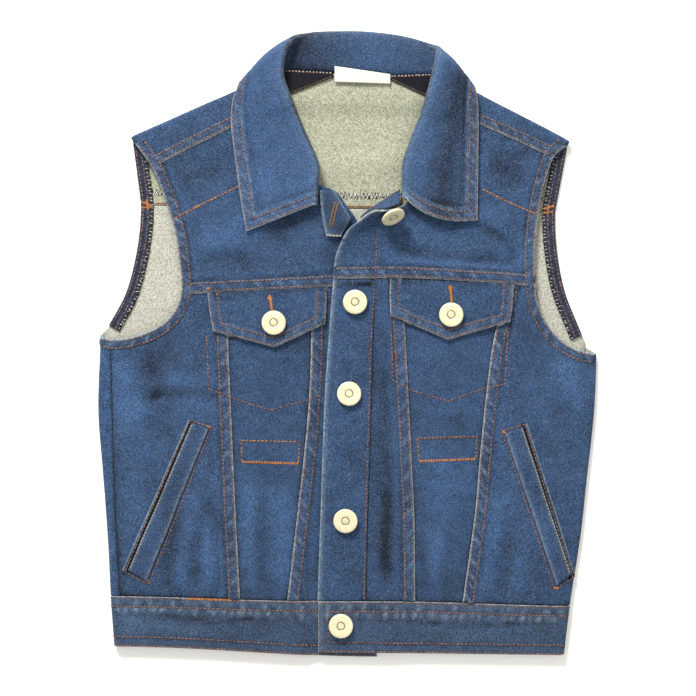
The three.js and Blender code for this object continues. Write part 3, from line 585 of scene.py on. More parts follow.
def from_edges(points):
    """Distance over the cloth to the left, right, bottom and top edges of a grid."""
    across = np.linalg.norm(np.diff(points, axis=1), axis=2)
    along = np.linalg.norm(np.diff(points, axis=0), axis=2)
    left = np.pad(np.cumsum(across, axis=1), ((0, 0), (1, 0)))
    bottom = np.pad(np.cumsum(along, axis=0), ((1, 0), (0, 0)))
    return {"left": left, "right": left[:, -1:] - left, "bottom": bottom, "top": bottom[-1:] - bottom}


PIECE_STEP = 173.0  # keeps each piece's weave apart from the next one's


class Cloth:
    """A cloth wall on a grid of points, with its outer face kept for the sewing on it.

    worn and shaded give how much each edge has paled, or lies in another piece's shade.
    """

    made = 0

    def __init__(self, name, points, low, high, outer, inner=None, node=None, keep=None, relief=0,
                 wear=0, tone=0, worn=None, shaded=None, slot="denim"):
        Cloth.made += 1
        edges = from_edges(points)
        nearest = np.minimum.reduce(list(edges.values()))
        wear, tone = wear + 0 * nearest, tone + 0 * nearest
        for side, amount in (worn or {}).items():
            wear = wear + amount * np.exp(-edges[side] / 1.0)
        for side, amount in (shaded or {}).items():
            tone = tone - amount * np.exp(-edges[side] / 1.6)
        middle, half = (low + high) / 2, (high - low) / 2
        roundness = np.sqrt(1 - (1 - np.clip(nearest / max(half, 0.4), 0, 1)) ** 2) * 0.75 + 0.25
        normals = grid_normals(points)
        outward = (middle + half * roundness + relief)[..., None]
        inward = (middle - half * roundness)[..., None]
        self.outer = points + normals * outward
        self.inner = points + normals * inward
        self.normals = normals
        self.edges = edges
        h, w = points.shape[:2]
        ids = np.arange(h * w).reshape(h, w)
        kept = np.ones((h - 1, w - 1), bool) if keep is None else keep
        faces, slots = self.wall_faces(ids, kept, h * w)
        layers = {"wear": np.stack([wear] * 2), "tone": np.stack([tone] * 2)}
        woven = np.stack([edges["left"], edges["bottom"], PIECE_STEP * Cloth.made + 0 * nearest], axis=-1)
        used = np.unique(np.concatenate([np.array(f) for f in faces]))
        place = np.full(2 * h * w, -1)
        place[used] = np.arange(len(used))
        both = np.concatenate([self.outer.reshape(-1, 3), self.inner.reshape(-1, 3)])[used]
        layers = {layer: values.reshape(-1)[used] for layer, values in layers.items()}
        woven = np.concatenate([woven.reshape(-1, 3)] * 2)[used]
        faces = [[int(place[k]) for k in face] for face in faces]
        self.object = make_object(
            name + "_cloth", both, faces, [outer, inner or outer], slots, layers, woven
        )
        if node:
            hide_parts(node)
        cells = np.cross(np.diff(points, axis=1)[:-1], np.diff(points, axis=0)[:, :-1])
        self.area = (np.linalg.norm(cells, axis=2) * kept).sum()
        self.size = (edges["left"][:, -1].max(), edges["bottom"][-1].max())

    @staticmethod
    def wall_faces(ids, kept, over):
        faces, slots = [], []
        h, w = kept.shape

        def has(j, i):
            return 0 <= j < h and 0 <= i < w and kept[j, i]

        for j in range(h):
            for i in range(w):
                if not kept[j, i]:
                    continue
                a, b, c, d = ids[j, i], ids[j, i + 1], ids[j + 1, i + 1], ids[j + 1, i]
                faces += [[a, b, c, d], [d + over, c + over, b + over, a + over]]
                slots += [0, 1]
                for beside, p, q in (
                    (has(j - 1, i), a, b),
                    (has(j, i + 1), b, c),
                    (has(j + 1, i), c, d),
                    (has(j, i - 1), d, a),
                ):
                    if not beside:
                        faces.append([q, p, p + over, q + over])
                        slots.append(0)
        return faces, slots

    def row(self, side, inset, trim=(0, 0)):
        """A line on the outer face at a distance from one edge, with its ends trimmed."""
        points, normals, depth = self.outer, self.normals, self.edges[side]
        if side in ("bottom", "top"):
            points, normals, depth = (np.swapaxes(a, 0, 1) for a in (points, normals, depth))
        line, facing = [], []
        for p, n, d in zip(points, normals, depth):
            order = np.argsort(d)
            line.append([np.interp(inset, d[order], p[order, k]) for k in range(3)])
            facing.append([np.interp(inset, d[order], n[order, k]) for k in range(3)])
        line, facing = np.array(line), np.array(facing)
        along = travelled(line)
        marks = np.arange(trim[0], along[-1] - trim[1], 1.0)
        return between(marks, along, line), between(marks, along, facing)

    def declare(self, held, rests_on, with_pieces=()):
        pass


def surface_normals(surface, x, y):
    step = 0.6
    du = surface(x + step, y) - surface(x - step, y)
    dv = surface(x, y + step) - surface(x, y - step)
    return unit(np.cross(du, dv))


# Cross-section of a felled seam: distance in from its edge, and height over the panel's middle
FELLED = [
    (-0.1, -0.5), (-0.35, 0.1), (-0.15, 0.85), (0.4, 1.2), (1.2, 1.08), (2.4, 1.3), (3.9, 1.38),
    (5.4, 1.3), (6.7, 1.05), (7.4, 1.12), (7.9, 0.8), (8.2, 0.3), (4.0, 0.2),
]
CLOSE = [(d * 0.88 if d > 2 else d, h) for d, h in FELLED]
# A turned edge with one row of stitches, such as the frame of a pocket
TURNED = [
    (-0.1, 0.0), (-0.3, 0.5), (0.0, 1.1), (0.6, 1.4), (1.2, 1.2), (1.8, 1.25), (2.2, 0.9), (2.4, 0.2),
]


class Strip:
    """A narrow raised band of cloth along a line, on the side that `hand` gives."""

    def __init__(self, name, line, surface, profile, material, hand=1, seed=0, tone=0.0, pale=1.0,
                 lift=0.0, node=None, slot="denim", faded_and_shaded=True, dents=ROWS):
        line = even(line, 1.6)
        tangent = unit(np.gradient(line, axis=0))
        inward = hand * np.stack([tangent[:, 1], -tangent[:, 0]], axis=1)
        along = travelled(line)
        rows, wear, shade = [], [], []
        for d, h in profile:
            plan = line + inward * d
            on = surface(plan[:, 0], plan[:, 1])
            normal = surface_normals(surface, plan[:, 0], plan[:, 1])
            roping = ripple(along + 0.9 * d, seed + 3)
            raised = h + lift + (0.16 * roping if h > 1 else 0)
            rows.append(on + normal * np.reshape(raised, (-1, 1)))
            edge = pale * math.exp(-max(d, 0) / 0.6) + 0.2 * pale * bell((d - dents[1] - 0.9) / 0.5)
            between = bell((d - 4.0) / 2.0)
            wear.append(edge + 0.34 * pale * between * np.clip(roping, 0, 1) ** 2)
            # Painted shade: darker in the grooves of the rows and on the tucked rows at the edge, and
            # lighter or darker with the roping's ripples
            groove = sum(bell((d - dent) / 0.8) for dent in dents)
            end = 0.9 if d > profile[-3][0] - 0.01 or h < 0 else 0
            shade.append(tone - 0.1 + 0.26 * roping - 0.55 * groove - end)
        self.profile, self.along = profile, along
        self.rows = np.array(rows)
        if faded_and_shaded:
            shade = shade + fade_and_shade(self.rows)
        self.facing = grid_normals(self.rows) * (1 if hand < 0 else -1)
        k, n = len(profile), len(line)
        ids = np.arange(k * n).reshape(k, n)
        faces = []
        for j in range(k):
            a, b = ids[j], ids[(j + 1) % k]
            for i in range(n - 1):
                quad = [a[i], a[i + 1], b[i + 1], b[i]]
                faces.append([int(q) for q in (quad if hand < 0 else quad[::-1])])
        ends = [[int(q) for q in ids[:, 0]], [int(q) for q in ids[::-1, -1]]]
        faces += ends if hand < 0 else [end[::-1] for end in ends]
        layers = {"wear": np.array(wear), "tone": np.array(shade)}
        inset = np.repeat([[d] for d, h in profile], n, axis=1)
        apart = np.full((k, n), -PIECE_STEP * (seed + 1))
        woven = np.stack([inset, np.tile(along, (k, 1)), apart], axis=-1)
        self.object = make_object(
            name, self.rows.reshape(-1, 3), faces, [material], None, layers, woven.reshape(-1, 3)
        )
        if node:
            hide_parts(node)

    def row(self, inset, trim=(0, 0)):
        picked = sorted((d, k) for k, (d, h) in enumerate(self.profile) if h > 0.75)
        order = [k for d, k in picked]
        rows, facing = self.rows[order], self.facing[order]
        k = np.interp(inset, [d for d, k in picked], np.arange(len(order)))
        low = min(int(k), len(order) - 2)
        points = lerp(rows[low], rows[low + 1], k - low)
        normals = lerp(facing[low], facing[low + 1], k - low)
        normals = np.where(normals[:, 2:] < 0, -normals, normals)
        keep = (self.along >= trim[0]) & (self.along <= self.along[-1] - trim[1])
        return points[keep], normals[keep]


class Sewing:
    """Gathers stitches and builds each thread's as one joined mesh."""

    # A stitch along x: rings at shares of its length, their size, and how far they stand up
    RINGS = [(-0.5, 0.7, -0.22), (-0.2, 1.0, 0.05), (0.2, 1.0, 0.05), (0.5, 0.7, -0.22)]
    SIDES = 5

    def __init__(self):
        self.threads = {}

    def put(self, thread, points, along, up, length, width):
        """Stitches at points, along the given directions, on a face that looks up."""
        each = np.ones(len(points))
        self.threads.setdefault(thread, []).append((points, along, up, length * each, width * each))

    @staticmethod
    def frames(line, marks, after, before):
        """Points and normals at marks along a line, and the way ahead at each."""
        points, normals = line
        along = travelled(points)
        ahead = between(marks + after, along, points) - between(marks - before, along, points)
        return between(marks, along, points), between(marks, along, normals), ahead

    def run(self, thread, line, pitch=STITCH, width=THREAD, share=1.02, doubled=False):
        """A row of stitches along a line of points and normals."""
        if len(line[0]) < 3:
            return
        marks = np.arange(pitch / 2, travelled(line[0])[-1], pitch)
        marks = marks + rng.uniform(-0.12, 0.12, len(marks)) * pitch
        at, up, ahead = self.frames(line, marks, 0.8, 0.8)
        self.put(thread, at, ahead, up, pitch * share * rng.uniform(0.92, 1.06, len(marks)), width)
        if doubled:
            side = unit(np.cross(up, ahead))
            self.put(thread, at + side * width * 0.8, ahead, up, pitch * share, width)

    def bar(self, thread, line, width, pitch=0.75, slot_gap=0.0):
        """Close stitches across a line: a bar tack, or with a gap the lips of a buttonhole."""
        marks = np.arange(0, travelled(line[0])[-1], pitch)
        at, up, ahead = self.frames(line, marks, 0.5, 0.5)
        side = unit(np.cross(up, ahead))
        reach = (width - slot_gap) / 2 if slot_gap else width
        for hand in (-1, 1) if slot_gap else (0,):
            centre = at + side * hand * (slot_gap + reach) / 2
            jitter = side + 0.12 * rng.uniform(-1, 1, (len(marks), 1)) * ahead
            self.put(thread, centre + up * 0.1, jitter, up, reach, 0.72)

    def overlock(self, threads, line, width, pitch=1.7, thickness=0.6):
        """The looped stitches that bind a raw edge, in turns of the given threads."""
        end = travelled(line[0])[-1]
        for k, thread in enumerate(threads):
            marks = np.arange(k * pitch / len(threads), end, pitch)
            marks = marks + rng.uniform(-0.3, 0.3, len(marks)) * pitch
            # A mark past the end would have no way ahead, and its stitch no size
            marks = np.minimum(marks, end - 0.05)
            at, up, ahead = self.frames(line, marks, 0.5, 0)
            side = unit(np.cross(up, ahead))
            slant = np.where(np.arange(len(marks)) % 2 == 0, 0.8, -0.55)
            slant = slant + rng.uniform(-0.5, 0.5, len(marks))
            shift = side * rng.uniform(-0.12, 0.12, (len(marks), 1)) * width
            reach = width * rng.uniform(0.6, 1.05, len(marks))
            self.put(thread, at + shift, side + 1.2 * slant[:, None] * ahead, up, reach, thickness)

    def build(self, name, thread, material):
        """Joins all of one thread's stitches into a mesh."""
        groups = self.threads[thread]
        points, along, up, length, width = (np.concatenate([g[k] for g in groups]) for k in range(5))
        along = unit(along)
        side = unit(np.cross(up, along))
        up = np.cross(along, side)
        angles = np.arange(self.SIDES) * 2 * np.pi / self.SIDES + np.pi / 2
        vertices = []
        for share, size, stand in self.RINGS:
            centre = points + along * (share * length)[:, None] + up * (stand * width)[:, None]
            for angle in angles:
                across = side * (size * width / 2 * math.cos(angle))[:, None]
                above = up * (size * width / 2 * math.sin(angle) * 0.85)[:, None]
                vertices.append(centre + across + above)
        vertices = np.stack(vertices, axis=1)
        each = vertices.shape[1]
        pattern = []
        for ring in range(len(self.RINGS) - 1):
            for s in range(self.SIDES):
                a, b = ring * self.SIDES + s, ring * self.SIDES + (s + 1) % self.SIDES
                pattern.append([a, b, b + self.SIDES, a + self.SIDES])
        pattern.append(list(range(self.SIDES))[::-1])
        pattern.append(list(range(each - self.SIDES, each)))
        faces = [[k + each * n for k in face] for n in range(len(points)) for face in pattern]
        # Each stitch is darker at its ends, where it dives into the cloth: painted shade. Each stitch
        # also gets a random tone.
        ends = np.repeat([-1.1, 0.5, 0.5, -1.1], self.SIDES)
        tone = (rng.uniform(-0.5, 0.5, (len(points), 1)) + ends).ravel()
        made = make_object(name, vertices.reshape(-1, 3), faces, [material], None, {"tone": tone})
        return made


# Materials


class Shader:
    """A small helper to build one procedural material."""

    def __init__(self, name):
        self.material = bpy.data.materials.new(name)
        self.material.use_nodes = True
        self.tree = self.material.node_tree
        self.tree.nodes.clear()

    def node(self, kind, settings=None, inputs=None, output=0):
        made = self.tree.nodes.new("ShaderNode" + kind)
        for key, value in (settings or {}).items():
            setattr(made, key, value)
        for key, value in (inputs or {}).items():
            socket = made.inputs[key]
            if isinstance(value, bpy.types.NodeSocket):
                self.tree.links.new(value, socket)
            else:
                socket.default_value = value
        return made.outputs[output]

    def math(self, operation, a, b=0.0, clamp=False):
        return self.node("Math", {"operation": operation, "use_clamp": clamp}, {0: a, 1: b})

    def mix(self, factor, a, b):
        return self.node("Mix", {"data_type": "RGBA"}, {"Factor": factor, "A": a, "B": b}, 2)

    def spread(self, value, low, high):
        """Stretches low to high over 0 to 1."""
        return self.node("MapRange", {"clamp": True}, {"Value": value, "From Min": low, "From Max": high})

    def place(self):
        """Object coordinates in millimetres."""
        place = self.node("TexCoord", output=3)
        return self.node("Mapping", None, {"Vector": place, "Scale": (1 / MM,) * 3})

    def woven(self, scale=(1, 1, 1), turn=0):
        """Millimetres across and along the piece's own cloth."""
        cloth = self.node("Attribute", {"attribute_name": "cloth"}, output=1)
        return self.node("Mapping", None, {"Vector": cloth, "Rotation": (0, 0, turn), "Scale": scale})

    def noise(self, vector, scale, detail=2.0, roughness=0.5):
        inputs = {"Vector": vector, "Scale": scale, "Detail": detail, "Roughness": roughness}
        return self.node("TexNoise", None, inputs)

    def grain(self, vector, scale, detail=2.0, roughness=0.5, reach=0.2):
        """Noise stretched to run from 0 to 1."""
        return self.spread(self.noise(vector, scale, detail, roughness), 0.5 - reach, 0.5 + reach)

    def layer(self, name):
        return self.node("Attribute", {"attribute_name": name}, output=2)

    def sum(self, first, *terms):
        """A number plus each term times its weight."""
        total = first
        for value, weight in terms:
            total = self.node("Math", {"operation": "MULTIPLY_ADD"}, {0: value, 1: weight, 2: total})
        return total

    def clamp(self, value, low=0.0, high=1.0):
        return self.node("Clamp", None, {"Value": value, "Min": low, "Max": high})

    def scaled(self, color, amount):
        return self.node("VectorMath", {"operation": "SCALE"}, {0: color, "Scale": amount})

    def finish(self, color, roughness, height=None, bump=(0.5, 0.0001), **inputs):
        values = {"Base Color": color, "Roughness": roughness, **inputs}
        if height is not None:
            values["Normal"] = self.node(
                "Bump", None, {"Height": height, "Strength": bump[0], "Distance": bump[1]}
            )
        shader = self.node("BsdfPrincipled", None, values)
        output = self.tree.nodes.new("ShaderNodeOutputMaterial")
        self.tree.links.new(shader, output.inputs["Surface"])
        return self.material


TWILL_TURN = math.radians(62)
TWILL_SCALE = 0.36  # a twill line each 0.87 mm


# How all the cloth takes the light, and its relief
NAP = {"Sheen Weight": 0.05, "Sheen Roughness": 0.6, "Specular IOR Level": 0.1}
RELIEF = (0.5, 0.00025)


def weave(shader, scale=TWILL_SCALE):
    """Twill lines, yarn grain and warp streaks, each from 0 to 1."""
    line = shader.node(
        "TexWave",
        {"wave_type": "BANDS", "bands_direction": "X"},
        {
            "Vector": shader.woven(turn=TWILL_TURN),
            "Scale": scale,
            "Distortion": 2.2,
            "Detail": 2.0,
            "Detail Scale": 1.5,
        },
        1,
    )
    yarn = shader.grain(shader.woven(), 0.8, 3, 0.75)
    streak = shader.grain(shader.woven((0.85, 0.3, 1)), 1.0, 2, 0.6)
    speck = shader.grain(shader.woven(), 1.45, 1, 0.5, 0.16)
    return line, yarn, streak, speck


def denim(name, slate, blue, pale, contrast=1.1):
    """Worn twill between its dark and its faded colour, with pale flecks and rubbed edges. Its tone
    layer, which also carries painted light and shade, moves it between the two and darkens it.
    """
    shader = Shader(name)
    line, yarn, streak, speck = weave(shader)
    tone = shader.layer("tone")
    blotch = shader.noise(shader.woven(), 0.035, 2)
    cloud = shader.noise(shader.woven(), 0.13, 3, 0.6)
    faded_and_shaded = shader.sum(-0.2, (tone, 0.55), (blotch, 0.6), (cloud, 0.8))
    color = shader.mix(shader.clamp(faded_and_shaded), slate, blue)
    grains = [(yarn, 0.7), (streak, 0.45), (line, 0.3), (speck, 0.75)]
    spread = shader.sum(1 - 1.1 * contrast, *((grain, weight * contrast) for grain, weight in grains))
    spread = shader.clamp(spread, 0.12, 4.0)
    color = shader.scaled(color, spread)
    fleck = shader.spread(shader.noise(shader.woven((1, 1, 1), 0.4), 1.25, 2, 0.8), 0.53, 0.75)
    patchy = shader.grain(shader.woven(), 0.45, 2, 0.6, 0.3)
    rubbed = shader.math("MULTIPLY", shader.layer("wear"), patchy)
    color = shader.mix(shader.clamp(shader.sum(0.0, (fleck, 0.42), (rubbed, 1.5))), color, pale)
    # A negative tone darkens the colour: painted shade, as along the seams and in the troughs
    color = shader.scaled(color, shader.clamp(shader.math("ADD", tone, 1.6), 0.15, 1.0))
    height = shader.sum(0.0, (line, 0.6), (yarn, 0.5), (streak, 0.2))
    return shader.finish(color, 0.88, height, RELIEF, **NAP)


def plain_cloth(name, dark, light, roughness=0.9):
    shader = Shader(name)
    line, yarn, streak, speck = weave(shader, 0.26)
    body = shader.clamp(shader.sum(-0.4, (yarn, 0.65), (streak, 0.3), (line, 0.4), (speck, 0.45)))
    height = shader.sum(0.0, (line, 0.6), (yarn, 0.6))
    return shader.finish(shader.mix(body, dark, light), roughness, height, RELIEF, **NAP)


def thread(name, dark, light):
    shader = Shader(name)
    grain = shader.noise(shader.place(), 0.16, 2)
    mixed = shader.clamp(shader.sum(-0.1, (shader.layer("tone"), 0.55), (grain, 1.1)))
    fibre = shader.noise(shader.place(), 2.4, 2)
    return shader.finish(
        shader.mix(mixed, dark, light), 0.65, fibre, (0.3, 0.0001),
        **{"Sheen Weight": 0.1, "Specular IOR Level": 0.25},
    )


def metal(name, color, dull):
    """Satin plating, tarnished in its hollows, and darkened by painted shade under its rim."""
    shader = Shader(name)
    cloud = shader.noise(shader.place(), 0.5, 4, 0.6)
    tarnish_and_shade = shader.clamp(shader.sum(-0.28, (shader.layer("tone"), 1.0), (cloud, 0.7)))
    rough = shader.sum(0.36, (cloud, 0.2))
    return shader.finish(shader.mix(tarnish_and_shade, color, dull), rough, cloud, (0.12, 0.0001), Metallic=0.3)


DENIM = denim("denim", (0.0075, 0.0155, 0.036, 1), (0.029, 0.068, 0.156, 1), (0.25, 0.31, 0.36, 1))
BAND = denim("band_denim", (0.009, 0.016, 0.033, 1), (0.038, 0.073, 0.14, 1), (0.27, 0.32, 0.36, 1), 1.35)
INSIDE = plain_cloth("denim_inside", (0.115, 0.12, 0.08, 1), (0.44, 0.45, 0.345, 1))
# A brighter, less yellow copy of the inside cloth for the back: painted light, as the back's inside is
# seen in the armholes' shade
INSIDE_LIT = plain_cloth("denim_inside_lit", (0.15, 0.15, 0.12, 1), (0.54, 0.53, 0.46, 1))
FACING = denim("facing_denim", (0.005, 0.008, 0.018, 1), (0.024, 0.038, 0.084, 1), (0.12, 0.14, 0.18, 1))
# Nearly black: the dark denim of the back neck's facings, with painted shade for where it lies under the
# collar
SHADED_NECK = plain_cloth("neck_facing", (0.002, 0.002, 0.004, 1), (0.01, 0.01, 0.016, 1))
TAPE = plain_cloth("label_tape", (0.56, 0.54, 0.45, 1), (0.68, 0.66, 0.58, 1), 0.6)
RUST = thread("rust_thread", (0.024, 0.012, 0.013, 1), (0.205, 0.104, 0.078, 1))
ORANGE = thread("orange_thread", (0.16, 0.045, 0.01, 1), (0.42, 0.17, 0.042, 1))
CREAM = thread("cream_thread", (0.22, 0.21, 0.17, 1), (0.5, 0.49, 0.42, 1))
BLACK = thread("black_thread", (0.004, 0.004, 0.006, 1), (0.018, 0.018, 0.026, 1))
BRASS = thread("brass_thread", (0.05, 0.024, 0.012, 1), (0.27, 0.125, 0.055, 1))
BROWN = thread("brown_thread", (0.03, 0.02, 0.01, 1), (0.17, 0.11, 0.06, 1))
METAL = metal("button_metal", (0.74, 0.68, 0.45, 1), (0.13, 0.095, 0.02, 1))

# Body panels

sewing = Sewing()
GRID = 2.6


def steps(length, step):
    """Grid positions from 0 to 1, close together at both ends so that edges can be rounded."""
    edge = np.array([0, 0.25, 0.7, 1.5]) / length
    count = max(2, int(round(length / step)))
    inner = np.linspace(edge[-1], 1 - edge[-1], count)
    return np.concatenate([edge[:-1], inner, (1 - edge[:-1])[::-1]])


def beside_seams(name, x, y):
    """Painted shade along the seams, painted shade and light on the soft ridge that the seams' own pieces
    have inside them, and painted shade in the pocket slits.
    """
    tone = 0 * x
    for seam in SEAMS:
        away, along = near_line(x, y, seam["line"])
        if seam["on"] == name:
            inside = away - seam["rows"][1]
            tone = tone - 0.7 * bell((inside - 1.8) / 1.3) + 0.3 * bell((inside - 4.6) / 1.8)
        else:
            tone = tone - 1.7 * np.exp(-away / 1.0)
    if name in SLITS:
        tone = tone - 3 * bell(near_line(x, y, SLITS[name])[0] / 1.2)
    return tone


def patch(outline, surface, size, grid=(GRID, GRID)):
    """A grid on a surface between four lines: its places in the plan, and its points."""
    u, v = np.meshgrid(steps(size[0], grid[0]), steps(size[1], grid[1]))
    xy = coons(outline)(u, v)
    return xy, surface(xy[..., 0], xy[..., 1])


def panel(name, outline, surface, size, **extra):
    xy, points = patch(outline, surface, size)
    low = -1.5 * CLOTH if name == "placket_right" else -CLOTH / 2
    # The cloth's fading with painted light and shade on its folds, and painted shade along the seams and
    # in the pocket slits
    tone = fade_and_shade(points) + beside_seams(name, xy[..., 0], xy[..., 1])
    return Cloth(name, points, low, CLOTH / 2, DENIM, INSIDE, node=name, tone=tone, **extra)


def foot_of(x):
    return float(waist_top(x)) + GAP


def foot(places):
    return [(x, foot_of(x)) for x in places]


def beside(line):
    """The same line across a seam, on its right."""
    return [(x + GAP, y) for x, y in line]


LEFT_SEAM = [(float(side_seam(y)) + GAP / 2, y) for y in (-176.4, -138, -92, -47, 2.4)]


def wrap_right(y, inset):
    fold = float(right_fold(y))
    return beyond_fold(fold, fold - inset)


# Lines of the seams between the panels, from the waist up
OUTER_LEFT = [(-75.4, foot_of(-75)), (-79, -108), (-82, -40), (-83.6, 0), (-84.4, 35.7)]
INNER_LEFT = [(-42.2, foot_of(-42)), (-35, -118), (-28.7, -60), (-25.8, -12), (-25.4, 38.8)]
STAND = [(13, foot_of(13)), (14, -124), (15.6, -82), (16.8, -40), (18, 2), (19, 45.4)]
INNER_RIGHT = [(47.2, foot_of(47)), (46.6, -124), (44.7, -82), (42.6, -40), (40.4, 2), (37.6, 45.6)]
OUTER_RIGHT = [(80.4, foot_of(80)), (88.5, -124), (92.4, -82), (96.5, -40), (102.2, 2), (111.8, 41.4)]
ON_LEFT_FRONT, ON_RIGHT_FRONT = lift(left_front), lift(right_front)

OUTLINES = {
    "front_yoke_left": {
        "bottom": [(-115, 34.6), (-92, 35.7), (-68, 36.9), (-40, 38.3), (-12, 39.9), (17, 41.4)],
        "left": [(-115, 34.6), (-117.5, 58), (-120.5, 78), (-127.5, 100), (-136.6, 122.6)],
        "top": [(-136.6, 122.6), (-119, 131.8), (-100, 141.4), (-81, 151), (-69, 156.4), (-56, 161)],
        "right": [
            (17, 41.4), (15, 62), (9, 82), (-1, 97), (-9, 107), (-24, 113), (-36, 130), (-46, 148),
            (-56, 161),
        ],
    },
    "front_yoke_right": {
        "bottom": [
            (-10, 45.6), (12, 45.7), (36, 46), (60, 45), (84, 43.5), (108, 41.9), (131.4, 40.2),
        ],
        "left": [
            (-10, 45.6), (-9, 57), (-7, 65), (0, 79), (9, 86), (17, 91), (27, 92), (38, 96), (47, 105),
            (50, 125), (57, 147), (66, 165),
        ],
        "top": [
            (66, 165), (79, 159), (92, 153.2), (105, 147.4), (118, 141.6), (131, 135.6), (143.6, 129.6),
        ],
        "right": [(131.4, 40.2), (130.6, 60), (132.4, 84), (137, 107), (143.6, 129.6)],
    },
    "side_front_left": {
        "bottom": foot([LEFT_SEAM[0][0], -138, -117, -96, -75.4]),
        "left": LEFT_SEAM,
        "top": [
            LEFT_SEAM[-1], (-150, 4.4), (-134, 10.6), (-122.3, 20.6), (-116.2, 34.2), (-100, 35),
            (-84.4, 35.7),
        ],
        "right": OUTER_LEFT,
        "corners": {"top": (4,)},
    },
    "middle_front_left": {
        "bottom": foot([-75.1, -58, -42.2]),
        "left": beside(OUTER_LEFT),
        "top": [(-84.1, 35.7), (-54, 37.3), (-25.4, 38.8)],
        "right": INNER_LEFT,
    },
    "inner_front_left": {
        "bottom": foot([-41.9, -20, 0, 19]),
        "left": beside(INNER_LEFT),
        "top": [(-25.1, 38.8), (-11, 39.6), (4, 40.3), (17, 41)],
        "right": [(19, foot_of(19)), (19, -120), (18, -60), (17, -9), (17, 41)],
    },
    "placket_right": {
        "bottom": foot([-20.8, -4, 13]),
        "left": [(float(placket_edge(y)), y + 1) for y in (-181.3, -124, -82, -40, 2, 44.2)],
        "top": [(float(placket_edge(44.2)), 45.2), (4, 45.2), (19, 45.4)],
        "right": STAND,
    },
    "inner_front_right": {
        "bottom": foot([13.3, 24, 35, 47.2]),
        "left": beside(STAND),
        "top": [(19.3, 45.4), (25, 45.5), (31, 45.6), (37.6, 45.6)],
        "right": INNER_RIGHT,
    },
    "middle_front_right": {
        "bottom": foot([47.5, 64, 80.4]),
        "left": beside(INNER_RIGHT),
        "top": [(37.9, 45.6), (74, 43.8), (111.8, 41.4)],
        "right": OUTER_RIGHT,
    },
    "side_front_right": {
        "bottom": foot([80.7, 106, 130, 153.8]) + [(wrap_right(-183, 7), -183.3)],
        "left": beside(OUTER_RIGHT),
        "top": [
            (112.1, 41.4), (122, 40.6), (131.6, 39.8), (133.8, 28), (138.2, 16), (148, 3.4), (160, -4.4),
            (171, -7.6), (175.6, -7), (wrap_right(-4, 7), -3),
        ],
        "right": [(wrap_right(y, 7), y) for y in (-183.3, -138, -92, -47, -3)],
        "corners": {"top": (2,)},
    },
}
# Felled seams along the panels' edges, each with two rows of stitches

ARMHOLE_LEFT = [
    (-173.2, 4.4), (-163.5, 2.6), (-150, 4.4), (-134, 10.6), (-122.3, 20.6), (-116.2, 36.4), (-117.5, 58),
    (-120.5, 78), (-127.2, 100), (-136, 122), (-148.2, 139.8),
]
ARMHOLE_RIGHT = [
    (173.2, -7.6), (160, -4.4), (148, 3.4), (138.2, 16), (133.0, 29), (131.2, 41), (130.6, 60),
    (132.4, 84), (136.4, 107), (143.6, 129.6), (152.4, 138.2),
]
SEAMS = table(
    "name on hand surface rows line",
    ("chest_seam_left", "front_yoke_left", -1, ON_LEFT_FRONT, ROWS,
     [(-114.6, 34.6), (-92, 35.7), (-68, 36.9), (-40, 38.3), (-12, 39.9), (16, 41.4)]),
    ("chest_seam_right", "front_yoke_right", -1, ON_RIGHT_FRONT, ROWS,
     [(-9.8, 45.6), (12, 45.7), (36, 46), (60, 45), (84, 43.5), (108, 41.9), (131, 40.2)]),
    ("outer_seam_left", "side_front_left", -1, on_left, ROWS, OUTER_LEFT),
    ("inner_seam_left", "inner_front_left", 1, ON_LEFT_FRONT, ROWS, beside(INNER_LEFT)),
    ("inner_seam_right", "inner_front_right", -1, ON_RIGHT_FRONT, ROWS, INNER_RIGHT),
    ("outer_seam_right", "side_front_right", 1, on_right, ROWS, beside(OUTER_RIGHT)),
    ("armhole_left", "front_yoke_left", 1, on_left, CLOSE_ROWS, ARMHOLE_LEFT),
    ("armhole_right", "front_yoke_right", -1, on_right, CLOSE_ROWS, ARMHOLE_RIGHT),
)
# The open pocket slits, where painted shade darkens the panel between the lip and the welt
SLITS = {
    "side_front_left": [(-154.8, -160.4), (-131.2, -106.9), (-108.2, -54.7)],
    "side_front_right": [(156.4, -163.9), (139.6, -109.5), (122.4, -56.7)],
}
PANELS = table(
    "name on size edges",
    ("front_yoke_left", ON_LEFT_FRONT, (135, 110), {"shaded": {"top": 0.7}}),
    ("front_yoke_right", ON_RIGHT_FRONT, (130, 110), {"shaded": {"top": 0.7}, "worn": {"left": 0.9}}),
    ("side_front_left", on_left, (85, 200), {"shaded": {"left": 1.0, "bottom": 1.0}}),
    ("middle_front_left", ON_LEFT_FRONT, (60, 218), {"shaded": {"bottom": 1.0}}),
    ("inner_front_left", ON_LEFT_FRONT, (45, 222), {"shaded": {"bottom": 1.0}}),
    ("placket_right", ON_RIGHT_FRONT, (34, 226), {"shaded": {"bottom": 0.8}, "worn": {"left": 1.0}}),
    ("inner_front_right", ON_RIGHT_FRONT, (27, 225), {"shaded": {"left": 0.5, "bottom": 1.0}}),
    ("middle_front_right", ON_RIGHT_FRONT, (60, 222), {"shaded": {"bottom": 1.0}}),
    ("side_front_right", on_right, (95, 215), {"shaded": {"bottom": 1.0}}),
)
panels = {
    row["name"]: panel(row["name"], OUTLINES[row["name"]], row["on"], row["size"], **row["edges"])
    for row in PANELS
}

strips = {}


def fell(seed, name, line, surface, hand, rows):
    """A felled seam with its rows of stitches."""
    profile = FELLED if rows == ROWS else CLOSE
    strips[name] = Strip(name, line, surface, profile, DENIM, hand, seed, dents=rows)
    for inset in rows:
        sewing.run("rust", strips[name].row(inset, (0.5, 0.5)))


for seed, seam in enumerate(SEAMS):
    fell(seed, seam["name"], seam["line"], seam["surface"], seam["hand"], seam["rows"])

# Back, lying on the surface; on the left it comes round the fold to the side seam


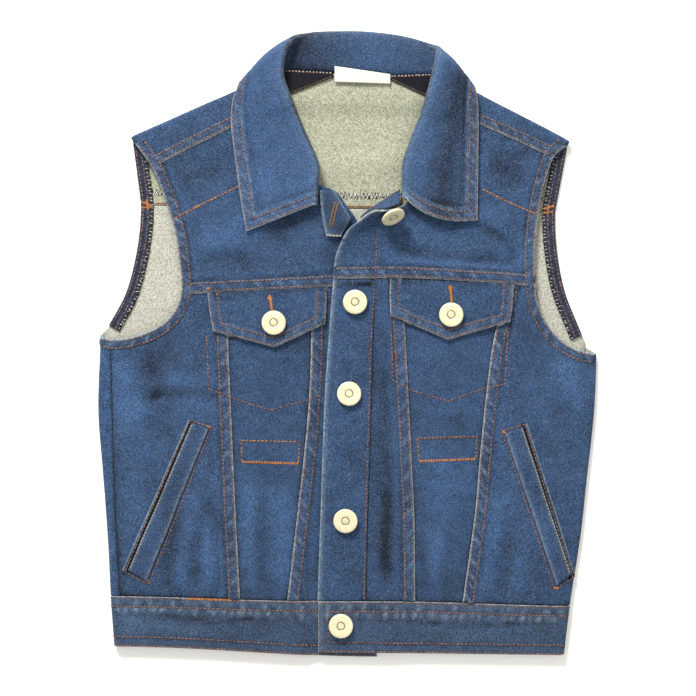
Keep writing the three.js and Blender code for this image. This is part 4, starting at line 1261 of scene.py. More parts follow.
def seam_on_back(y):
    return (-float(beyond_fold(left_fold(y), side_seam(y) - GAP / 2)), y)


def back_right(y):
    return (float(right_fold(y)) - 7 - GAP, y)


back_plan = coons(
    {
        "bottom": [(seam_on_back(-176.6)[0], -176.5), (back_right(-183)[0], -183.2)],
        "left": [seam_on_back(y) for y in (-176.5, -138, -92, -47, 2)]
        + [(-176, 4.6), (-166, 14.4), (-156.6, 33), (-150.4, 54), (-146.6, 76), (-145.2, 97)],
        "top": [(-145.2, 97), (146, 92)],
        "right": [back_right(y) for y in (-183.2, -138, -92, -47, -5)]
        + [(165.4, 4), (159.4, 17), (153.8, 33), (149.2, 52), (146.6, 73), (146, 92)],
        "corners": {"left": (4,)},
    }
)
# Finer columns round the fold, which takes up the first 6% of the width
FOLD_SHARE = 0.06
columns = np.concatenate([np.linspace(0, FOLD_SHARE, 24), np.linspace(FOLD_SHARE, 1, 70)[1:]])
u, v = np.meshgrid(columns, steps(275, 4))
xy = back_plan(u, v)
# Painted light on the rounded left side fold: the cloth is lighter towards the fold
back_body = Cloth("back_body", on_back(xy[..., 0], xy[..., 1]), -CLOTH / 2, CLOTH / 2, INSIDE_LIT, DENIM,
                  node="back_body", tone=0.5 * ramp(1 - u * 12), shaded={"left": 0.9})

# Back yoke, over the shoulders to its front seams

COLUMN_STEPS = 5
RISE_ROWS, TURN_ROWS, WRAP_ROWS = 26, 8, 9


def yoke_columns(name):
    """A point of each column, spread over finer columns. The neck ones have no seam."""
    rows = [row[name] or row["top"] for row in YOKE_COLUMNS]
    if name == "top":
        rows = [np.array(p) - FOLD_INSET * shoulder(p[0]) if row["seam"] else p
                for row, p in zip(YOKE_COLUMNS, rows)]
    marks = np.arange((len(rows) - 1) * COLUMN_STEPS + 1) / COLUMN_STEPS
    return between(marks, np.arange(len(rows)), rows)


def shoulder(x):
    return np.array(SHOULDER_NORMAL["left" if x < 0 else "right"])


feet, tops, ends = yoke_columns("foot"), yoke_columns("top"), yoke_columns("seam")
outward = np.array([shoulder(x) for x in tops[:, 0]])
rows = []
for t in np.linspace(0, 1, RISE_ROWS):
    p = lerp(feet, tops, t)
    rows.append(np.column_stack([p, back(p[:, 0], p[:, 1])]))
for t in np.linspace(0, 1, TURN_ROWS)[1:]:
    p = tops + outward * FOLD * math.sin(math.pi * t)
    rows.append(np.column_stack([p, back(tops[:, 0], tops[:, 1]) + FOLD * (1 - math.cos(math.pi * t))]))
for t in np.linspace(0, 1, WRAP_ROWS)[1:]:
    p = lerp(tops, ends, t)
    z = lerp(back(tops[:, 0], tops[:, 1]) + 2 * FOLD, front(p[:, 0], p[:, 1]), ramp(2 * t))
    rows.append(np.column_stack([p, z]))
yoke_points = np.array(rows)
necked = np.array([row["seam"] is None for row in YOKE_COLUMNS])
necked = np.repeat(necked[:-1] | necked[1:], COLUMN_STEPS)
yoke_keep = np.ones((yoke_points.shape[0] - 1, yoke_points.shape[1] - 1), bool)
yoke_keep[RISE_ROWS - 1 :, necked] = False
back_yoke = Cloth("back_yoke", yoke_points, -CLOTH / 2, CLOTH / 2, INSIDE, DENIM, node="back_yoke",
                  keep=yoke_keep)

SHOULDER_SEAMS = {
    "shoulder_seam_left": [(-136.6, 123.1), (-119, 132.4), (-100, 142), (-81, 151.4), (-60, 160.6)],
    "shoulder_seam_right": [(68, 164.8), (92, 153.8), (118, 142.2), (143.8, 130.2)],
}
for seed, (name, line) in enumerate(SHOULDER_SEAMS.items()):
    fell(seed + 20, name, line, lift(front), -1, CLOSE_ROWS)

# Inside of the back yoke's seam: its allowance, a row of orange stitches and a bound edge

ALLOWANCE = [
    (0.0, 0.3), (-0.2, 0.6), (0.1, 1.0), (1.5, 1.05), (5, 1.1), (8.4, 1.0), (9.2, 0.9), (9.5, 0.5),
]
yoke_seam = Strip("back_yoke_seam", [(-143.5, 97.6), (0, 95.4), (144.6, 92.8)], lift(back), ALLOWANCE,
                  INSIDE, -1, 31, lift=-0.1, faded_and_shaded=False)
sewing.run("orange", yoke_seam.row(1.2))
sewing.overlock(["cream", "black"], yoke_seam.row(8.4), 5.4, pitch=1.3, thickness=0.95)

# Facings inside the armholes: dark strips with two rows of stitches and a bound edge

FACING_PROFILE = [
    (0.0, 0.7), (-0.2, 1.0), (0.1, 1.7), (0.8, 1.95), (1.6, 1.8), (4.4, 2.0), (7.2, 1.85), (8.2, 1.8),
    (8.6, 1.3), (8.6, 0.9),
]
FACINGS = table(
    "side hand line",
    ("left", 1, [(-167.4, 12.8), (-156, 34), (-149.8, 55), (-146, 76), (-144.8, 97), (-147.3, 117),
                 (-150.4, 140)]),
    ("right", -1, [(164.6, 5.8), (153.2, 34), (148.6, 53), (146, 73), (145.6, 92), (149.2, 112),
                   (154, 137.4)]),
)
for facing in FACINGS:
    name = "armhole_facing_" + facing["side"]
    strip = Strip(name, facing["line"], lift(back), FACING_PROFILE, FACING, facing["hand"], 40, pale=0.25,
                  node=name, faded_and_shaded=False)
    strips[name] = strip
    sewing.run("rust", strip.row(1.5))
    sewing.run("rust", strip.row(5.0))
    sewing.overlock(["black", "black", "cream", "black"], strip.row(7.4), 3.0, pitch=2.6)


# Waistband: one doubled strip from the left front's end round the back to the right front's


def waist_columns():
    """Where each column is: its layer, and its share of the way along or round it."""
    columns = [("left", t) for t in 1 - steps(185, 2.6)[:-1]]
    columns += [("fold_left", t) for t in np.linspace(0, 1, 10)[:-1]]
    columns += [("back", t) for t in np.linspace(0, 1, 40)[:-1]]
    columns += [("fold_right", t) for t in np.linspace(1, 0, 10)[:-1]]
    columns += [("right", t) for t in 1 - steps(177, 2.6)]
    return columns


def waist_point(layer, t, v):
    waist_fold = (WAIST["front"] - WAIST["back"]) / 2
    inset = waist_fold + DOUBLE / 2
    left_top, right_top = float(waist_top(-166)), float(waist_top(156))

    def in_left(y):
        return left_fold(y) + inset

    def in_right(y):
        return right_fold(y) - inset

    if layer == "left":
        x = lerp(in_left(-200), WAIST_ENDS["left"], t)
        y = lerp(lerp(HEM["left"], HEM["left_end"], ramp((x + 163) / 184)), waist_top(x), v)
        x = lerp(in_left(y), WAIST_ENDS["left"], t)
        return x, y, lerp(WAIST["front"], WAIST["underlap"], ramp((x + 33) / 11))
    if layer == "right":
        x = lerp(WAIST_ENDS["right"], in_right(-200), t)
        y = lerp(lerp(HEM["right_end"], HEM["right"], t), waist_top(x), v)
        x = lerp(WAIST_ENDS["right"], in_right(y), t)
        return x, y, lerp(WAIST["overlap"], WAIST["front"], ramp((x - 24) / 24))
    if layer == "back":
        y = lerp(lerp(HEM["left"], HEM["right"], t), lerp(left_top, right_top, t), v)
        return lerp(in_left(y), in_right(y), t), y, WAIST["back"] + 0 * y
    if layer == "fold_left":
        low, top, flat, hand = HEM["left"], left_top, in_left, -1
    else:
        low, top, flat, hand = HEM["right"], right_top, in_right, 1
    y = lerp(low, top, v)
    z = (WAIST["front"] + WAIST["back"]) / 2 + waist_fold * math.cos(math.pi * t)
    return flat(y) + hand * waist_fold * math.sin(math.pi * t), y, z + 0 * y


WAIST_HEIGHT = 37
WAIST_EDGE = np.array([0, 0.3, 0.8, 1.5, 2.6, 4.6, 6.6, 7.9, 9.2])  # grid lines beside an edge
waist_v = np.concatenate([
    WAIST_EDGE,
    np.linspace(WAIST_EDGE[-1], WAIST_HEIGHT - WAIST_EDGE[-1], 10)[1:-1],
    WAIST_HEIGHT - WAIST_EDGE[::-1],
]) / WAIST_HEIGHT
waist = np.array([np.column_stack(np.broadcast_arrays(*waist_point(layer, t, waist_v)))
                  for layer, t in waist_columns()])
waist = np.swapaxes(waist, 0, 1)[:, ::-1]
waist_layers = np.array([layer for layer, _ in waist_columns()])[::-1]
depth = np.minimum(waist_v, 1 - waist_v)[:, None] * WAIST_HEIGHT
girth = from_edges(waist)["left"]
quilt = -0.28 * bell((depth - WAIST_ROWS[0]) / 0.9) - 0.28 * bell((depth - WAIST_ROWS[1]) / 1.1)
from_top = (1 - waist_v)[:, None] * WAIST_HEIGHT
wave = bell((from_top - 13.5 - 1.2 * ripple(girth * 0.3, 2)) / 1.5)
wave = wave * (0.6 + 0.4 * ripple(girth * 0.45, 4))
quilt = quilt - 0.5 * wave
quilt = quilt + 0.34 * ripple(girth, 3) * bell((from_top - 5.5) / 5)
quilt = quilt + 0.2 * ripple(girth * 0.6, 9) * bell((from_top - 16) / 7)
quilt = quilt + 0.12 * ripple(girth, 6) * bell((depth - 4) / 4)
on_front = np.isin(waist_layers, ("left", "right"))[None, :]
quilt = quilt * np.where(on_front, 1, 0.0)
puckers = np.clip(ripple(girth * 1.2, 3), 0, 1) * bell((from_top - 9.8) / 2.2)
puckers = puckers + 0.6 * np.clip(ripple(girth, 8), 0, 1) * bell((from_top - 4.6) / 2.4)
waist_wear = 0.7 * np.exp(-depth / 0.7) + 0.55 * puckers * on_front
rows_shade = sum(bell((depth - row) / 0.8) for row in WAIST_ROWS)
# Painted shade on the front: darker in the quilted relief's hollows, along the rows of stitches and in
# the crease's trough, added to the cloth's fading with its painted light and shade
waist_tone = np.where(on_front, fade_and_shade(waist), 0) + 0.5 * quilt - 0.45 * rows_shade - 0.5 * wave * on_front
waistband = Cloth("waistband", waist, -DOUBLE / 2, DOUBLE / 2, BAND, node="waistband", relief=quilt,
                  wear=waist_wear, tone=waist_tone, worn={"left": 0.9, "right": 0.5})
for inset in WAIST_ROWS:
    for side in ("top", "bottom", "left"):
        sewing.run("rust", waistband.row(side, inset, (inset, inset)))
sewing.run("rust", waistband.row("right", 1.6, (2, 2)))
points, normals = waistband.row("top", WAIST_ROWS[0])
frayed = (points[:, 0] > -112) & (points[:, 0] < -81) & (points[:, 2] > FRONT)
sewing.run("orange", (points[frayed], normals[frayed]), pitch=1.7, doubled=True)


# Collar


COLLAR_LINES = {
    name: curve([np.atleast_1d(row[name]) for row in COLLAR_STATIONS])
    for name in ("roll", "seam", "edge", "turn", "bow")
}
STAND_ROWS, ROLL_ROWS = 7, 12


def collar_rows(u):
    """Sections of the collar at shares u of its length, as a grid of points."""
    roll, seam, edge = (COLLAR_LINES[name](u) for name in ("roll", "seam", "edge"))
    under = ramp(COLLAR_LINES["turn"](u)[:, 0])
    bow = np.column_stack([COLLAR_LINES["bow"](u), np.zeros(len(u))])
    tangent = unit(COLLAR_LINES["roll"](u + 1e-4) - COLLAR_LINES["roll"](u - 1e-4))
    away = np.column_stack([-tangent[:, 1], tangent[:, 0], np.zeros(len(u))])
    up = np.array([0, 0, 1.0])
    angle = (np.pi * under)[:, None]
    tip = -away * np.cos(angle) + up * np.sin(angle)
    face = up * np.cos(angle) + away * np.sin(angle)

    def over(p):
        height = np.where(p[:, 0] < 7, left_front(p[:, 0], p[:, 1]), right_front(p[:, 0], p[:, 1]))
        relief = crease_height(p[:, 0], p[:, 1])
        return height - 0.6 * relief

    def raised(p, on_front, on_back):
        return np.column_stack([p, lerp(over(p) + on_front, on_back, under)])

    roll = raised(roll, ROLL_HEIGHT, COLLAR / 2 + ROLL_RADIUS)
    seam = raised(seam, FALL_ON_FRONT + 0.2, BACK + COLLAR_LIFT + 0.4)
    edge = raised(edge, FALL_ON_FRONT, COLLAR / 2)
    centre = roll - tip * ROLL_RADIUS
    stand_end = centre - face * ROLL_RADIUS
    begin = centre + face * ROLL_RADIUS
    rows = [lerp(seam, stand_end, t) for t in np.linspace(0, 1, STAND_ROWS)[:-1]]
    for turn in np.linspace(0, np.pi, ROLL_ROWS):
        rows.append(centre - face * ROLL_RADIUS * math.cos(turn) + tip * ROLL_RADIUS * math.sin(turn))
    for t in FALL_SHARES[1:]:
        rows.append(lerp(begin, edge, t) + bow * 4 * t * (1 - t))
    return np.array(rows)


COLLAR_LENGTH, FALL_DEPTH = 330, 52
COLLAR_EDGE = np.array([0, 0.3, 0.8, 1.5, 2.8, 4.6, 6.6, 7.9])  # grid lines beside an edge
COLLAR_INNER = 9.4
FALL_SHARES = np.concatenate([
    np.linspace(0, 1 - COLLAR_INNER / FALL_DEPTH, 18),
    1 - COLLAR_EDGE[::-1] / FALL_DEPTH,
])
collar_u = np.concatenate([
    COLLAR_EDGE / COLLAR_LENGTH,
    np.linspace(COLLAR_INNER, COLLAR_LENGTH - COLLAR_INNER, 130) / COLLAR_LENGTH,
    1 - COLLAR_EDGE[::-1] / COLLAR_LENGTH,
])
collar_points = collar_rows(collar_u)
edges = from_edges(collar_points)
fall_rows = np.arange(collar_points.shape[0]) >= STAND_ROWS + ROLL_ROWS - 2
from_end = np.minimum(edges["left"], edges["right"])
quilt = 0
for depth in (edges["top"], from_end):
    for row in COLLAR_ROWS:
        quilt = quilt - 0.3 * bell((depth - row) / 0.9)
    quilt = quilt + 0.2 * bell((depth - 8.4) / 1.2) - 0.3 * bell((depth - 11.2) / 1.6)
    quilt = quilt + 0.14 * ripple(edges["left"] + edges["top"], 5) * bell((depth - 5) / 5)
middle_of_fall = bell((edges["top"] - 30) / 16) * 0.9 - bell((edges["top"] - 14) / 6) * 0.35
swelling = middle_of_fall + 0.55 * ripple(edges["left"] * 0.16, 2) * bell((edges["top"] - 28) / 18)
seen = ramp(1.2 - 1.6 * COLLAR_LINES["turn"](collar_u)[:, 0])
collar_relief = np.where(fall_rows[:, None], quilt + swelling, 0) * seen
at_edge = np.minimum(edges["top"], from_end)
roping = np.clip(ripple(edges["left"] + edges["top"], 5), 0, 1)
collar_wear = 0.95 * np.exp(-at_edge / 0.8) + 0.25 * roping * bell((at_edge - 4.4) / 2)
collar_wear = collar_wear + 0.3 * (0.4 + roping) * bell((at_edge - 8.2) / 0.9)
roll_depth = np.linalg.norm(collar_points - collar_points[STAND_ROWS + ROLL_ROWS // 2], axis=2)
collar_wear = collar_wear + 0.18 * np.exp(-roll_depth / 3)
across_fall = edges["top"] / np.maximum(edges["top"][STAND_ROWS + ROLL_ROWS - 1], 1)
on_right_side = collar_points[..., 0] > 7
middle = bell((across_fall - 0.5) / 0.27)
# On the right, painted light and shade for the curve of the fall: lighter by the roll and at the edge,
# with a dark band across its middle. The left fall is lighter all over.
right_tone = 0.55 * across_fall**3 - 0.9 * middle + 0.1
fall_tone = np.where(on_right_side, right_tone, 0.55 - 0.15 * (1 - across_fall))
collar_x = collar_points[..., 0]
stand_tone = -0.35 + 0.5 * bell((collar_x - 24) / 26) - 0.5 * bell((collar_x + 34) / 14)
# Painted shade where the fall drops past its stitched edge, and in the grooves of its rows (0.9 of the
# relief)
fall_tone = fall_tone - 0.35 * bell((at_edge - 11.2) / 1.3)
collar_tone = np.where(fall_rows[:, None], fall_tone, stand_tone) + 0.9 * quilt
collar = Cloth("collar", collar_points, -COLLAR / 2, COLLAR / 2, DENIM, node="collar",
               relief=collar_relief, wear=collar_wear, tone=collar_tone)
for inset in COLLAR_ROWS:
    sewing.run("rust", collar.row("top", inset, (inset, inset)))
    for side in ("left", "right"):
        sewing.run("rust", collar.row(side, inset, (STAND_ROWS * 1.5 + 8, inset)))

# Pocket flaps: pointed, with two rows of stitches along the sides and the point

ON_SEAMS = (CLOTH / 2 + SEAM_RISE + GAP, CLOTH / 2 + SEAM_RISE + GAP + 1.6)
FLAPS = [
    {
        "name": "flap_left",
        "surface": ON_LEFT_FRONT,
        "bottom": [(-94, 8.5), (-72.5, 3), (-51, -3), (-33.5, 5.5), (-16, 14)],
        "left": [(-94, 8.5), (-96.2, 22), (-98, 35.2)],
        "top": [(-98, 35.2), (-56, 37.2), (-14.6, 39.4)],
        "right": [(-16, 14), (-15.2, 26), (-14.6, 39.4)],
    },
    {
        "name": "flap_right",
        "surface": ON_RIGHT_FRONT,
        "bottom": [(29.6, 19.4), (50, 11), (70, 2.4), (92, 9), (113.8, 15)],
        "left": [(29.6, 19.4), (29.2, 31), (29, 45.4)],
        "top": [(29, 45.4), (73, 43.6), (116.4, 41)],
        "right": [(113.8, 15), (115.2, 27), (116.4, 41)],
    },
]
flaps = {}
for flap in FLAPS:
    xy, points = patch({**flap, "corners": {"bottom": (2,)}}, flap["surface"], (84, 38), (1.4, 1.4))
    edges = from_edges(points)
    depth = np.minimum.reduce([edges["left"], edges["right"], edges["bottom"]])
    quilt = sum(-0.28 * bell((depth - row) / 0.9) for row in ROWS) - 0.2 * bell((depth - 9) / 1.2)
    quilt = quilt + 0.1 * ripple(edges["left"] + edges["bottom"], 4) * bell((depth - 4) / 4)
    roping = np.clip(ripple(edges["left"], 4), 0, 1)
    wear = 0.95 * np.exp(-depth / 0.8) + 0.25 * roping * bell((depth - 4.2) / 2)
    wear = wear + 0.2 * bell((depth - 7.6) / 0.6)
    # Painted shade in the relief's grooves, added to the cloth's fading with its painted light and shade
    tone = fade_and_shade(points) + 0.9 * quilt
    made = Cloth(flap["name"], points, *ON_SEAMS, DENIM, node=flap["name"], relief=quilt,
                 wear=wear, tone=tone, shaded={"top": 0.9})
    flaps[flap["name"]] = made
    for inset in ROWS:
        sewing.run("rust", made.row("bottom", inset, (inset, inset)))
        for side in ("left", "right"):
            sewing.run("rust", made.row(side, inset, (inset, 1)))

# Slanted pocket welts, each in a stitched frame with an open slit on its outer side

ON_PANEL = CLOTH / 2 + GAP
WELTS = [
    {
        "name": "welt_left",
        "surface": on_left,
        "corners": [(-153.4, -158.6), (-140.6, -166.4), (-97.4, -60), (-109, -55.6)],
        "lip": [(-157.6, -159.2), (-134, -105.6), (-111, -53.4)],
        "slit": "left",
        "hand": 1,
        "frame": [(-155.6, -159.8), (-110.4, -54.2), (-95.2, -58.6), (-138.8, -168.6), (-155.6, -159.8)],
    },
    {
        "name": "welt_right",
        "surface": on_right,
        "corners": [(146.4, -169.6), (156.4, -161.4), (122.4, -58.4), (110.4, -63)],
        "lip": [(159.4, -163), (142.6, -108.6), (125.4, -55.8)],
        "slit": "right",
        "hand": -1,
        "frame": [(157.8, -164), (124, -56.8), (108.2, -61.2), (145, -172), (157.8, -164)],
    },
]
welts = {}
for seed, welt in enumerate(WELTS):
    a, b, c, d = welt["corners"]
    outline = {"bottom": [a, b], "right": [b, c], "top": [d, c], "left": [a, d]}
    xy, points = patch(outline, welt["surface"], (14, 113), (1.6, 2))
    made = Cloth(welt["name"], points, ON_PANEL - 0.4, ON_PANEL + 1.2, DENIM, node=welt["name"],
                 tone=fade_and_shade(points), shaded={welt["slit"]: 1.0}, worn={"left": 0.6, "right": 0.6})
    welts[welt["name"]] = made
    sewing.run("cream", made.row(welt["slit"], 0.9, (2, 2)), pitch=2.2, width=0.5, share=0.5)
    name = welt["name"] + "_lip"
    strips[name] = Strip(name, welt["lip"], welt["surface"], TURNED, DENIM, welt["hand"], seed + 60,
                         pale=0.6)

# Facings at the back neck, and at the two front corners


def overlay(name, outline, surface, low, high, material, step=2, size=(30, 30), **extra):
    xy, points = patch(outline, surface, size, (step, step))
    return Cloth(name, points, low, high, material, node=name, **extra)


neck_left = overlay(
    "neck_facing_left",
    {"bottom": [(-49, 171), (-10, 186.4)], "top": [(-49, 191.6), (-10, 189.6)],
     "left": [(-49, 171), (-49, 191.6)], "right": [(-10, 186.4), (-10, 189.6)]},
    lift(back), ON_PANEL, ON_PANEL + 1, SHADED_NECK, size=(39, 10))
neck_right = overlay(
    "neck_facing_right",
    {"bottom": [(30, 184.6), (62, 170)], "top": [(30, 187.4), (62, 188.6)],
     "left": [(30, 184.6), (30, 187.4)], "right": [(62, 170), (62, 188.6)]},
    lift(back), ON_PANEL, ON_PANEL + 1, SHADED_NECK, size=(32, 10))
for piece in (neck_left, neck_right):
    sewing.run("brown", piece.row("bottom", 0.9, (1, 1)), pitch=1.9, width=0.6)
    sewing.run("rust", piece.row("top", 0.7), pitch=2.4)
    sewing.run("cream", piece.row("top", 0.2), pitch=2.4, width=0.7, share=0.5)
corner_left = overlay(
    "corner_facing_left",
    {"bottom": [(-15, 74.8), (-5, 75)], "left": [(-15, 74.8), (-17, 86), (-18.4, 97), (-19.4, 107)],
     "top": [(-19.4, 107), (-9.4, 107)], "right": [(-5, 75), (-1.4, 81.6), (2, 88), (-9.4, 107)],
     "corners": {"right": (2,)}},
    ON_LEFT_FRONT, ON_PANEL + 0.5, ON_PANEL + 2, DENIM, size=(16, 33), step=1.4, tone=-0.25,
    worn={"left": 0.8, "bottom": 0.9, "right": 0.7})
sewing.run("cream", corner_left.row("bottom", 0.8, (0.5, 0.5)), pitch=2.2)


def lip_top(x, y):
    height = right_front(np.array([float(x)]), np.array([float(y)]))[0]
    return (x, y + 1.6, height - 0.6)


near_side = curve([lip_top(9, 86), lip_top(17, 91), lip_top(27, 92), lip_top(36.4, 95.6)])
far_side = curve([(13, 92, 7.6), (20, 96.6, 6.4), (27.4, 102, 5.6), (36.8, 108, 5)])
u, v = np.meshgrid(steps(30, 1.6), steps(12, 1.4))
corner_points = lerp(near_side(u), far_side(u), v[..., None])
corner_right = Cloth("corner_facing_right", corner_points, -0.5, 0.5, DENIM, node="corner_facing_right",
                     tone=-0.1)
sewing.run("rust", corner_right.row("top", 1.6, (1, 1)))

# A blank label sewn into the neckline

u, v = np.meshgrid(steps(39, 2), steps(10, 1.2))
label_y = lerp(lerp(183, 181.8, u), lerp(194, 188.4, u), v)
label_height = lerp(5.2, 5.9, v) + 0.25 * np.sin(u * 5)
label_points = np.stack([lerp(-9, 30, u), label_y, label_height], axis=-1)
label = Cloth("label", label_points, -0.45, 0.45, TAPE, node="label", slot="label")

# Rows that cross more than one piece, dropped onto the cloth from above


def landing(objects):
    """A function that drops a plan line onto the pieces below it."""
    vertices, faces = [], []
    for item in objects:
        start = len(vertices)
        vertices += [tuple(v.co / MM) for v in item.data.vertices]
        faces += [[start + k for k in face.vertices] for face in item.data.polygons]
    tree = BVHTree.FromPolygons(vertices, faces)

    def drop(line):
        points, normals = [], []
        for x, y in even(line, 0.9, range(len(line))):
            hit, normal, _, _ = tree.ray_cast(Vector((x, y, 60)), Vector((0, 0, -1)))
            if hit is not None:
                points.append(tuple(hit))
                normals.append(tuple(normal if normal.z > 0 else -normal))
        return np.array(points), np.array(normals)

    return drop


cloth = [*panels.values(), *strips.values(), *flaps.values(), *welts.values(), corner_left]
on_cloth = landing([piece.object for piece in cloth])

SINGLE_ROWS = table(
    "thread width line",
    ("rust", THREAD, [(-98.6, 6), (-97, -32), (-82, -38), (-54.5, -46.8), (-27, -39.5), (-19.5, -36)]),
    ("rust", THREAD, [(30.5, 12), (32, -26), (42, -32), (70.4, -40.4), (97.6, -31), (110, -28.6),
                      (112.4, 10)]),
    ("rust", THREAD, [(21.4, 80), (19.3, 46), (16.2, -3), (13.7, -90), (11.5, -179)]),
    ("orange", THREAD, [(-76, 110), (-104, 96.4), (-121.4, 87)]),
    ("orange", THREAD, [(94, 108.2), (112, 99), (131, 91)]),
    ("brass", 1.2, [(-74, -83), (-74, -68), (-33.4, -69), (-34.4, -84)]),
    ("brass", 1.2, [(50, -82.5), (49, -66.5), (90.6, -65.2), (90, -81)]),
)
for row in SINGLE_ROWS:
    sewing.run(row["thread"], on_cloth(row["line"]), width=row["width"])
for line in ([(-74, -83.2), (-34.4, -84.4)], [(50, -82.8), (90, -81.2)]):
    sewing.run("orange", on_cloth(line), pitch=1.9, doubled=True)
for welt in WELTS:
    sewing.run("rust", on_cloth(welt["frame"]))

# Bar tacks and buttonholes

TACKS = [
    [(-107, 94.8), (-103, 96.8)],
    [(-142.4, -166.6), (-139.4, -165.8)],
    [(-97.6, -58.4), (-95.2, -58.8)],
    [(108.4, -61.6), (110.8, -62.6)],
    [(144.6, -171), (147.6, -171.4)],
    [(-98.4, 38.4), (-96, 38.4)],
]
for line in TACKS:
    sewing.bar("orange", on_cloth(line), 1.8)
BUTTONHOLES = table(
    "thread line width gap",
    ("orange", [(-54.2, 33.4), (-52.8, 23.4)], 2.2, 0),
    ("orange", [(-55.4, 31.6), (-52.8, 31.4)], 2.6, 0),
    ("orange", [(71.6, 40.2), (72.8, 29)], 2.2, 0),
    ("orange", [(70.6, 38.6), (73.2, 38.4)], 2.4, 0),
    ("brown", [(-7.6, 98.4), (-11.8, 81.4)], 3.6, 0.3),
)
for hole in BUTTONHOLES:
    sewing.bar(hole["thread"], on_cloth(hole["line"]), hole["width"], pitch=0.42, slot_gap=hole["gap"])
CROSSINGS = table(
    "from to width",
    ((-144.6, 99.4), (-138.4, 97), 2.2),
    ((-144, 95.2), (-136.6, 95.8), 1.5),
    ((-140.8, 100.6), (-139.8, 94), 2.0),
    ((138.4, 94.6), (145, 96.6), 2.0),
    ((137.6, 91.6), (144.6, 92.4), 1.4),
    ((141, 97), (140.4, 90.6), 1.8),
)
on_facings = landing([strips["armhole_facing_left"].object, strips["armhole_facing_right"].object])
for crossing in CROSSINGS:
    sewing.bar("orange", on_facings([crossing["from"], crossing["to"]]), crossing["width"], pitch=0.8)

# Tack buttons: a rimmed cap with a dished ring round a raised centre, on a shank

BUTTON_PROFILE = [
    (0, 0), (3, 0), (3, 1), (6.8, 0.95), (7.9, 1.15), (8.4, 1.6), (8.5, 2.1), (8.4, 2.6), (8.1, 2.95),
    (7.6, 3.15), (6.4, 3.25), (4.4, 3.2), (3.3, 3.15), (3.0, 2.95), (2.8, 2.75), (2.5, 2.75), (2.3, 2.95),
    (2.0, 3.1), (1.2, 3.2), (0, 3.22),
]
SIDES = 56


def right_waist(x, _):
    return WAIST["overlap"] + 0 * x


def on_curl(x, _):
    """The height that the curled corner holds the neck button at."""
    return 15.2 + 0 * x


BUTTONS = [
    {"name": "button_neck", "at": (30.75, 89.6), "on": on_curl, "above": 0,
     "up": (0.373, -0.8, 0.469), "foot": 1.1},
    {"name": "button_front_1", "at": (5.2, 29), "on": right_front, "above": CLOTH / 2},
    {"name": "button_front_2", "at": (1, -35.3), "on": right_front, "above": CLOTH / 2},
    {"name": "button_front_3", "at": (-1.2, -123.6), "on": right_front, "above": CLOTH / 2},
    {"name": "button_waistband", "at": (-4.6, -197), "on": right_waist, "above": DOUBLE / 2},
    {"name": "button_flap_left", "at": (-51.4, 14.4), "on": left_front, "above": ON_SEAMS[1]},
    {"name": "button_flap_right", "at": (72.4, 20), "on": right_front, "above": ON_SEAMS[1]},
]
SLOPE_STEP = 3
# Tarnish in the ring round the centre and a little on the centre; painted shade under the rim and on the
# shank
hollow_tarnish_and_rim_shade = [1.1 * bell((r - 2.65) / 0.32) + 1.2 * (h < 1.5) + 0.12 * (r < 2.4) for r, h in BUTTON_PROFILE]
tarnish_and_shade = np.repeat(hollow_tarnish_and_rim_shade, SIDES)
for button in BUTTONS:
    x, y = (np.array([float(k)]) for k in button["at"])
    on = button["on"]
    slope_x = (on(x + SLOPE_STEP, y) - on(x - SLOPE_STEP, y))[0] / (2 * SLOPE_STEP)
    slope_y = (on(x, y + SLOPE_STEP) - on(x, y - SLOPE_STEP))[0] / (2 * SLOPE_STEP)
    up = Vector(button.get("up", (-slope_x, -slope_y, 1))).normalized()
    turn = Vector((0, 0, 1)).rotation_difference(up)
    foot_point = Vector((x[0], y[0], on(x, y)[0])) + up * (button["above"] + GAP + 0.1)
    vertices, faces = [], []
    for r, h in BUTTON_PROFILE:
        h = h or -button.get("foot", 0)
        for k in range(SIDES):
            a = 2 * math.pi * k / SIDES
            vertices.append(tuple(foot_point + turn @ Vector((r * math.cos(a), r * math.sin(a), h))))
    rings = len(BUTTON_PROFILE)
    for ring in range(rings - 1):
        for k in range(SIDES):
            a, b = ring * SIDES + k, ring * SIDES + (k + 1) % SIDES
            faces.append([a, b, b + SIDES, a + SIDES])
    made = make_object(button["name"] + "_cap", vertices, faces, [METAL], None, {"tone": tarnish_and_shade})
    mesh = bmesh.new()
    mesh.from_mesh(made.data)
    bmesh.ops.remove_doubles(mesh, verts=mesh.verts, dist=1e-6)
    mesh.to_mesh(made.data)
    mesh.free()
    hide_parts(button["name"])

# All the stitches, one joined mesh for each thread

THREADS = {
    "rust": RUST, "orange": ORANGE, "cream": CREAM, "black": BLACK, "brown": BROWN, "brass": BRASS,
}
for name, material in THREADS.items():
    sewing.build(f"stitches_{name}", name, material)

# Each piece's state and neighbours, handed to declare, which does nothing with them

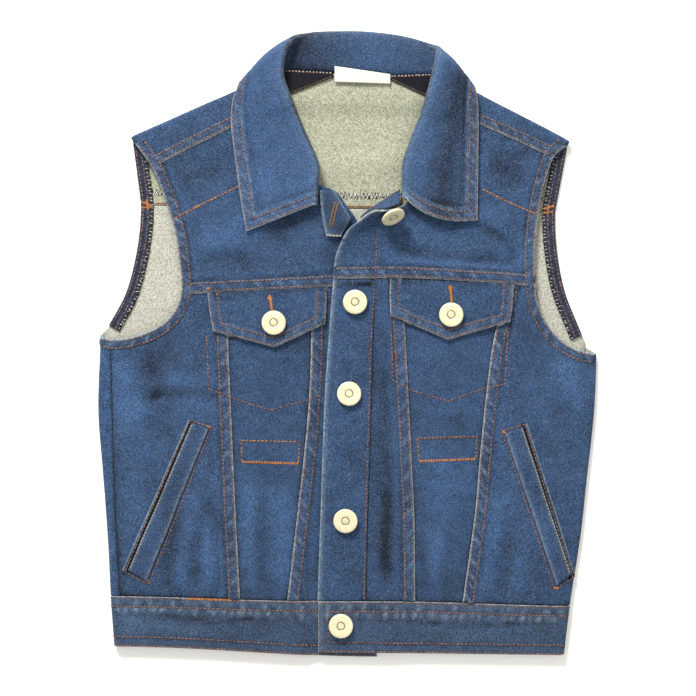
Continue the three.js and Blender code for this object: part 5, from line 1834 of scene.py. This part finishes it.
for name, piece in panels.items():
    with_pieces = [strips[s["name"]] for s in SEAMS if s["on"] == name]
    piece.declare("laid", ["back_body"], with_pieces)
back_body.declare("folded", [], [])
back_yoke.declare("folded", [], [yoke_seam, strips["shoulder_seam_left"], strips["shoulder_seam_right"],
                                 strips["armhole_facing_left"], strips["armhole_facing_right"]])
waistband.declare("folded", [], [])
collar.declare("folded", ["front_yoke_left", "front_yoke_right"], [])
for name, piece in flaps.items():
    piece.declare("laid", ["middle_front_" + name.split("_")[1]], [])
for name, piece in welts.items():
    piece.declare("laid", ["side_front_" + name.split("_")[1]], [strips[name + "_lip"]])
for piece in (neck_left, neck_right):
    piece.declare("laid", ["back_yoke"], [])
corner_left.declare("folded", ["front_yoke_left"], [])
corner_right.declare("folded", ["front_yoke_right"], [])
label.declare("laid", ["back_yoke"], [])

# Floor, light and camera

scene = bpy.context.scene


def add_floor():
    mesh = bpy.data.meshes.new("floor")
    reach = 3.0
    corners = [(-reach, -reach, 0), (reach, -reach, 0), (reach, reach, 0), (-reach, reach, 0)]
    mesh.from_pydata(corners, [], [(0, 1, 2, 3)])
    floor = bpy.data.objects.new("floor", mesh)
    bpy.context.collection.objects.link(floor)
    shader = Shader("floor")
    mesh.materials.append(shader.finish((0.93, 0.92, 0.885, 1), 0.9))


def add_light(name, at, size, power, color):
    data = bpy.data.lights.new(name, "AREA")
    data.shape = "DISK"
    data.size = size
    data.energy = power
    data.color = color
    lamp = bpy.data.objects.new(name, data)
    lamp.location = at
    lamp.rotation_euler = (-Vector(at)).to_track_quat("-Z", "Y").to_euler()
    bpy.context.collection.objects.link(lamp)


add_floor()
add_light("key", (-0.55, 1.5, 1.0), 0.55, 66, (1, 0.985, 0.96))
add_light("fill", (1.1, -0.6, 1.6), 1.4, 9, (1, 0.98, 0.95))
world = bpy.data.worlds.new("studio")
world.use_nodes = True
world.node_tree.nodes["Background"].inputs["Color"].default_value = (1, 0.99, 0.97, 1)
world.node_tree.nodes["Background"].inputs["Strength"].default_value = 0.75
scene.world = world

CAMERA_HEIGHT = 1100
CAMERA_X = 0.35
CAMERA_Y = -3.15
FRAME_WIDTH = 487.2
SENSOR = 36
camera_data = bpy.data.cameras.new("camera")
camera_data.sensor_width = SENSOR
camera_data.lens = SENSOR * CAMERA_HEIGHT / FRAME_WIDTH
camera = bpy.data.objects.new("camera", camera_data)
camera.location = (CAMERA_X * MM, CAMERA_Y * MM, (CAMERA_HEIGHT + FRONT) * MM)
bpy.context.collection.objects.link(camera)
scene.camera = camera
scene.view_settings.view_transform = "Standard"
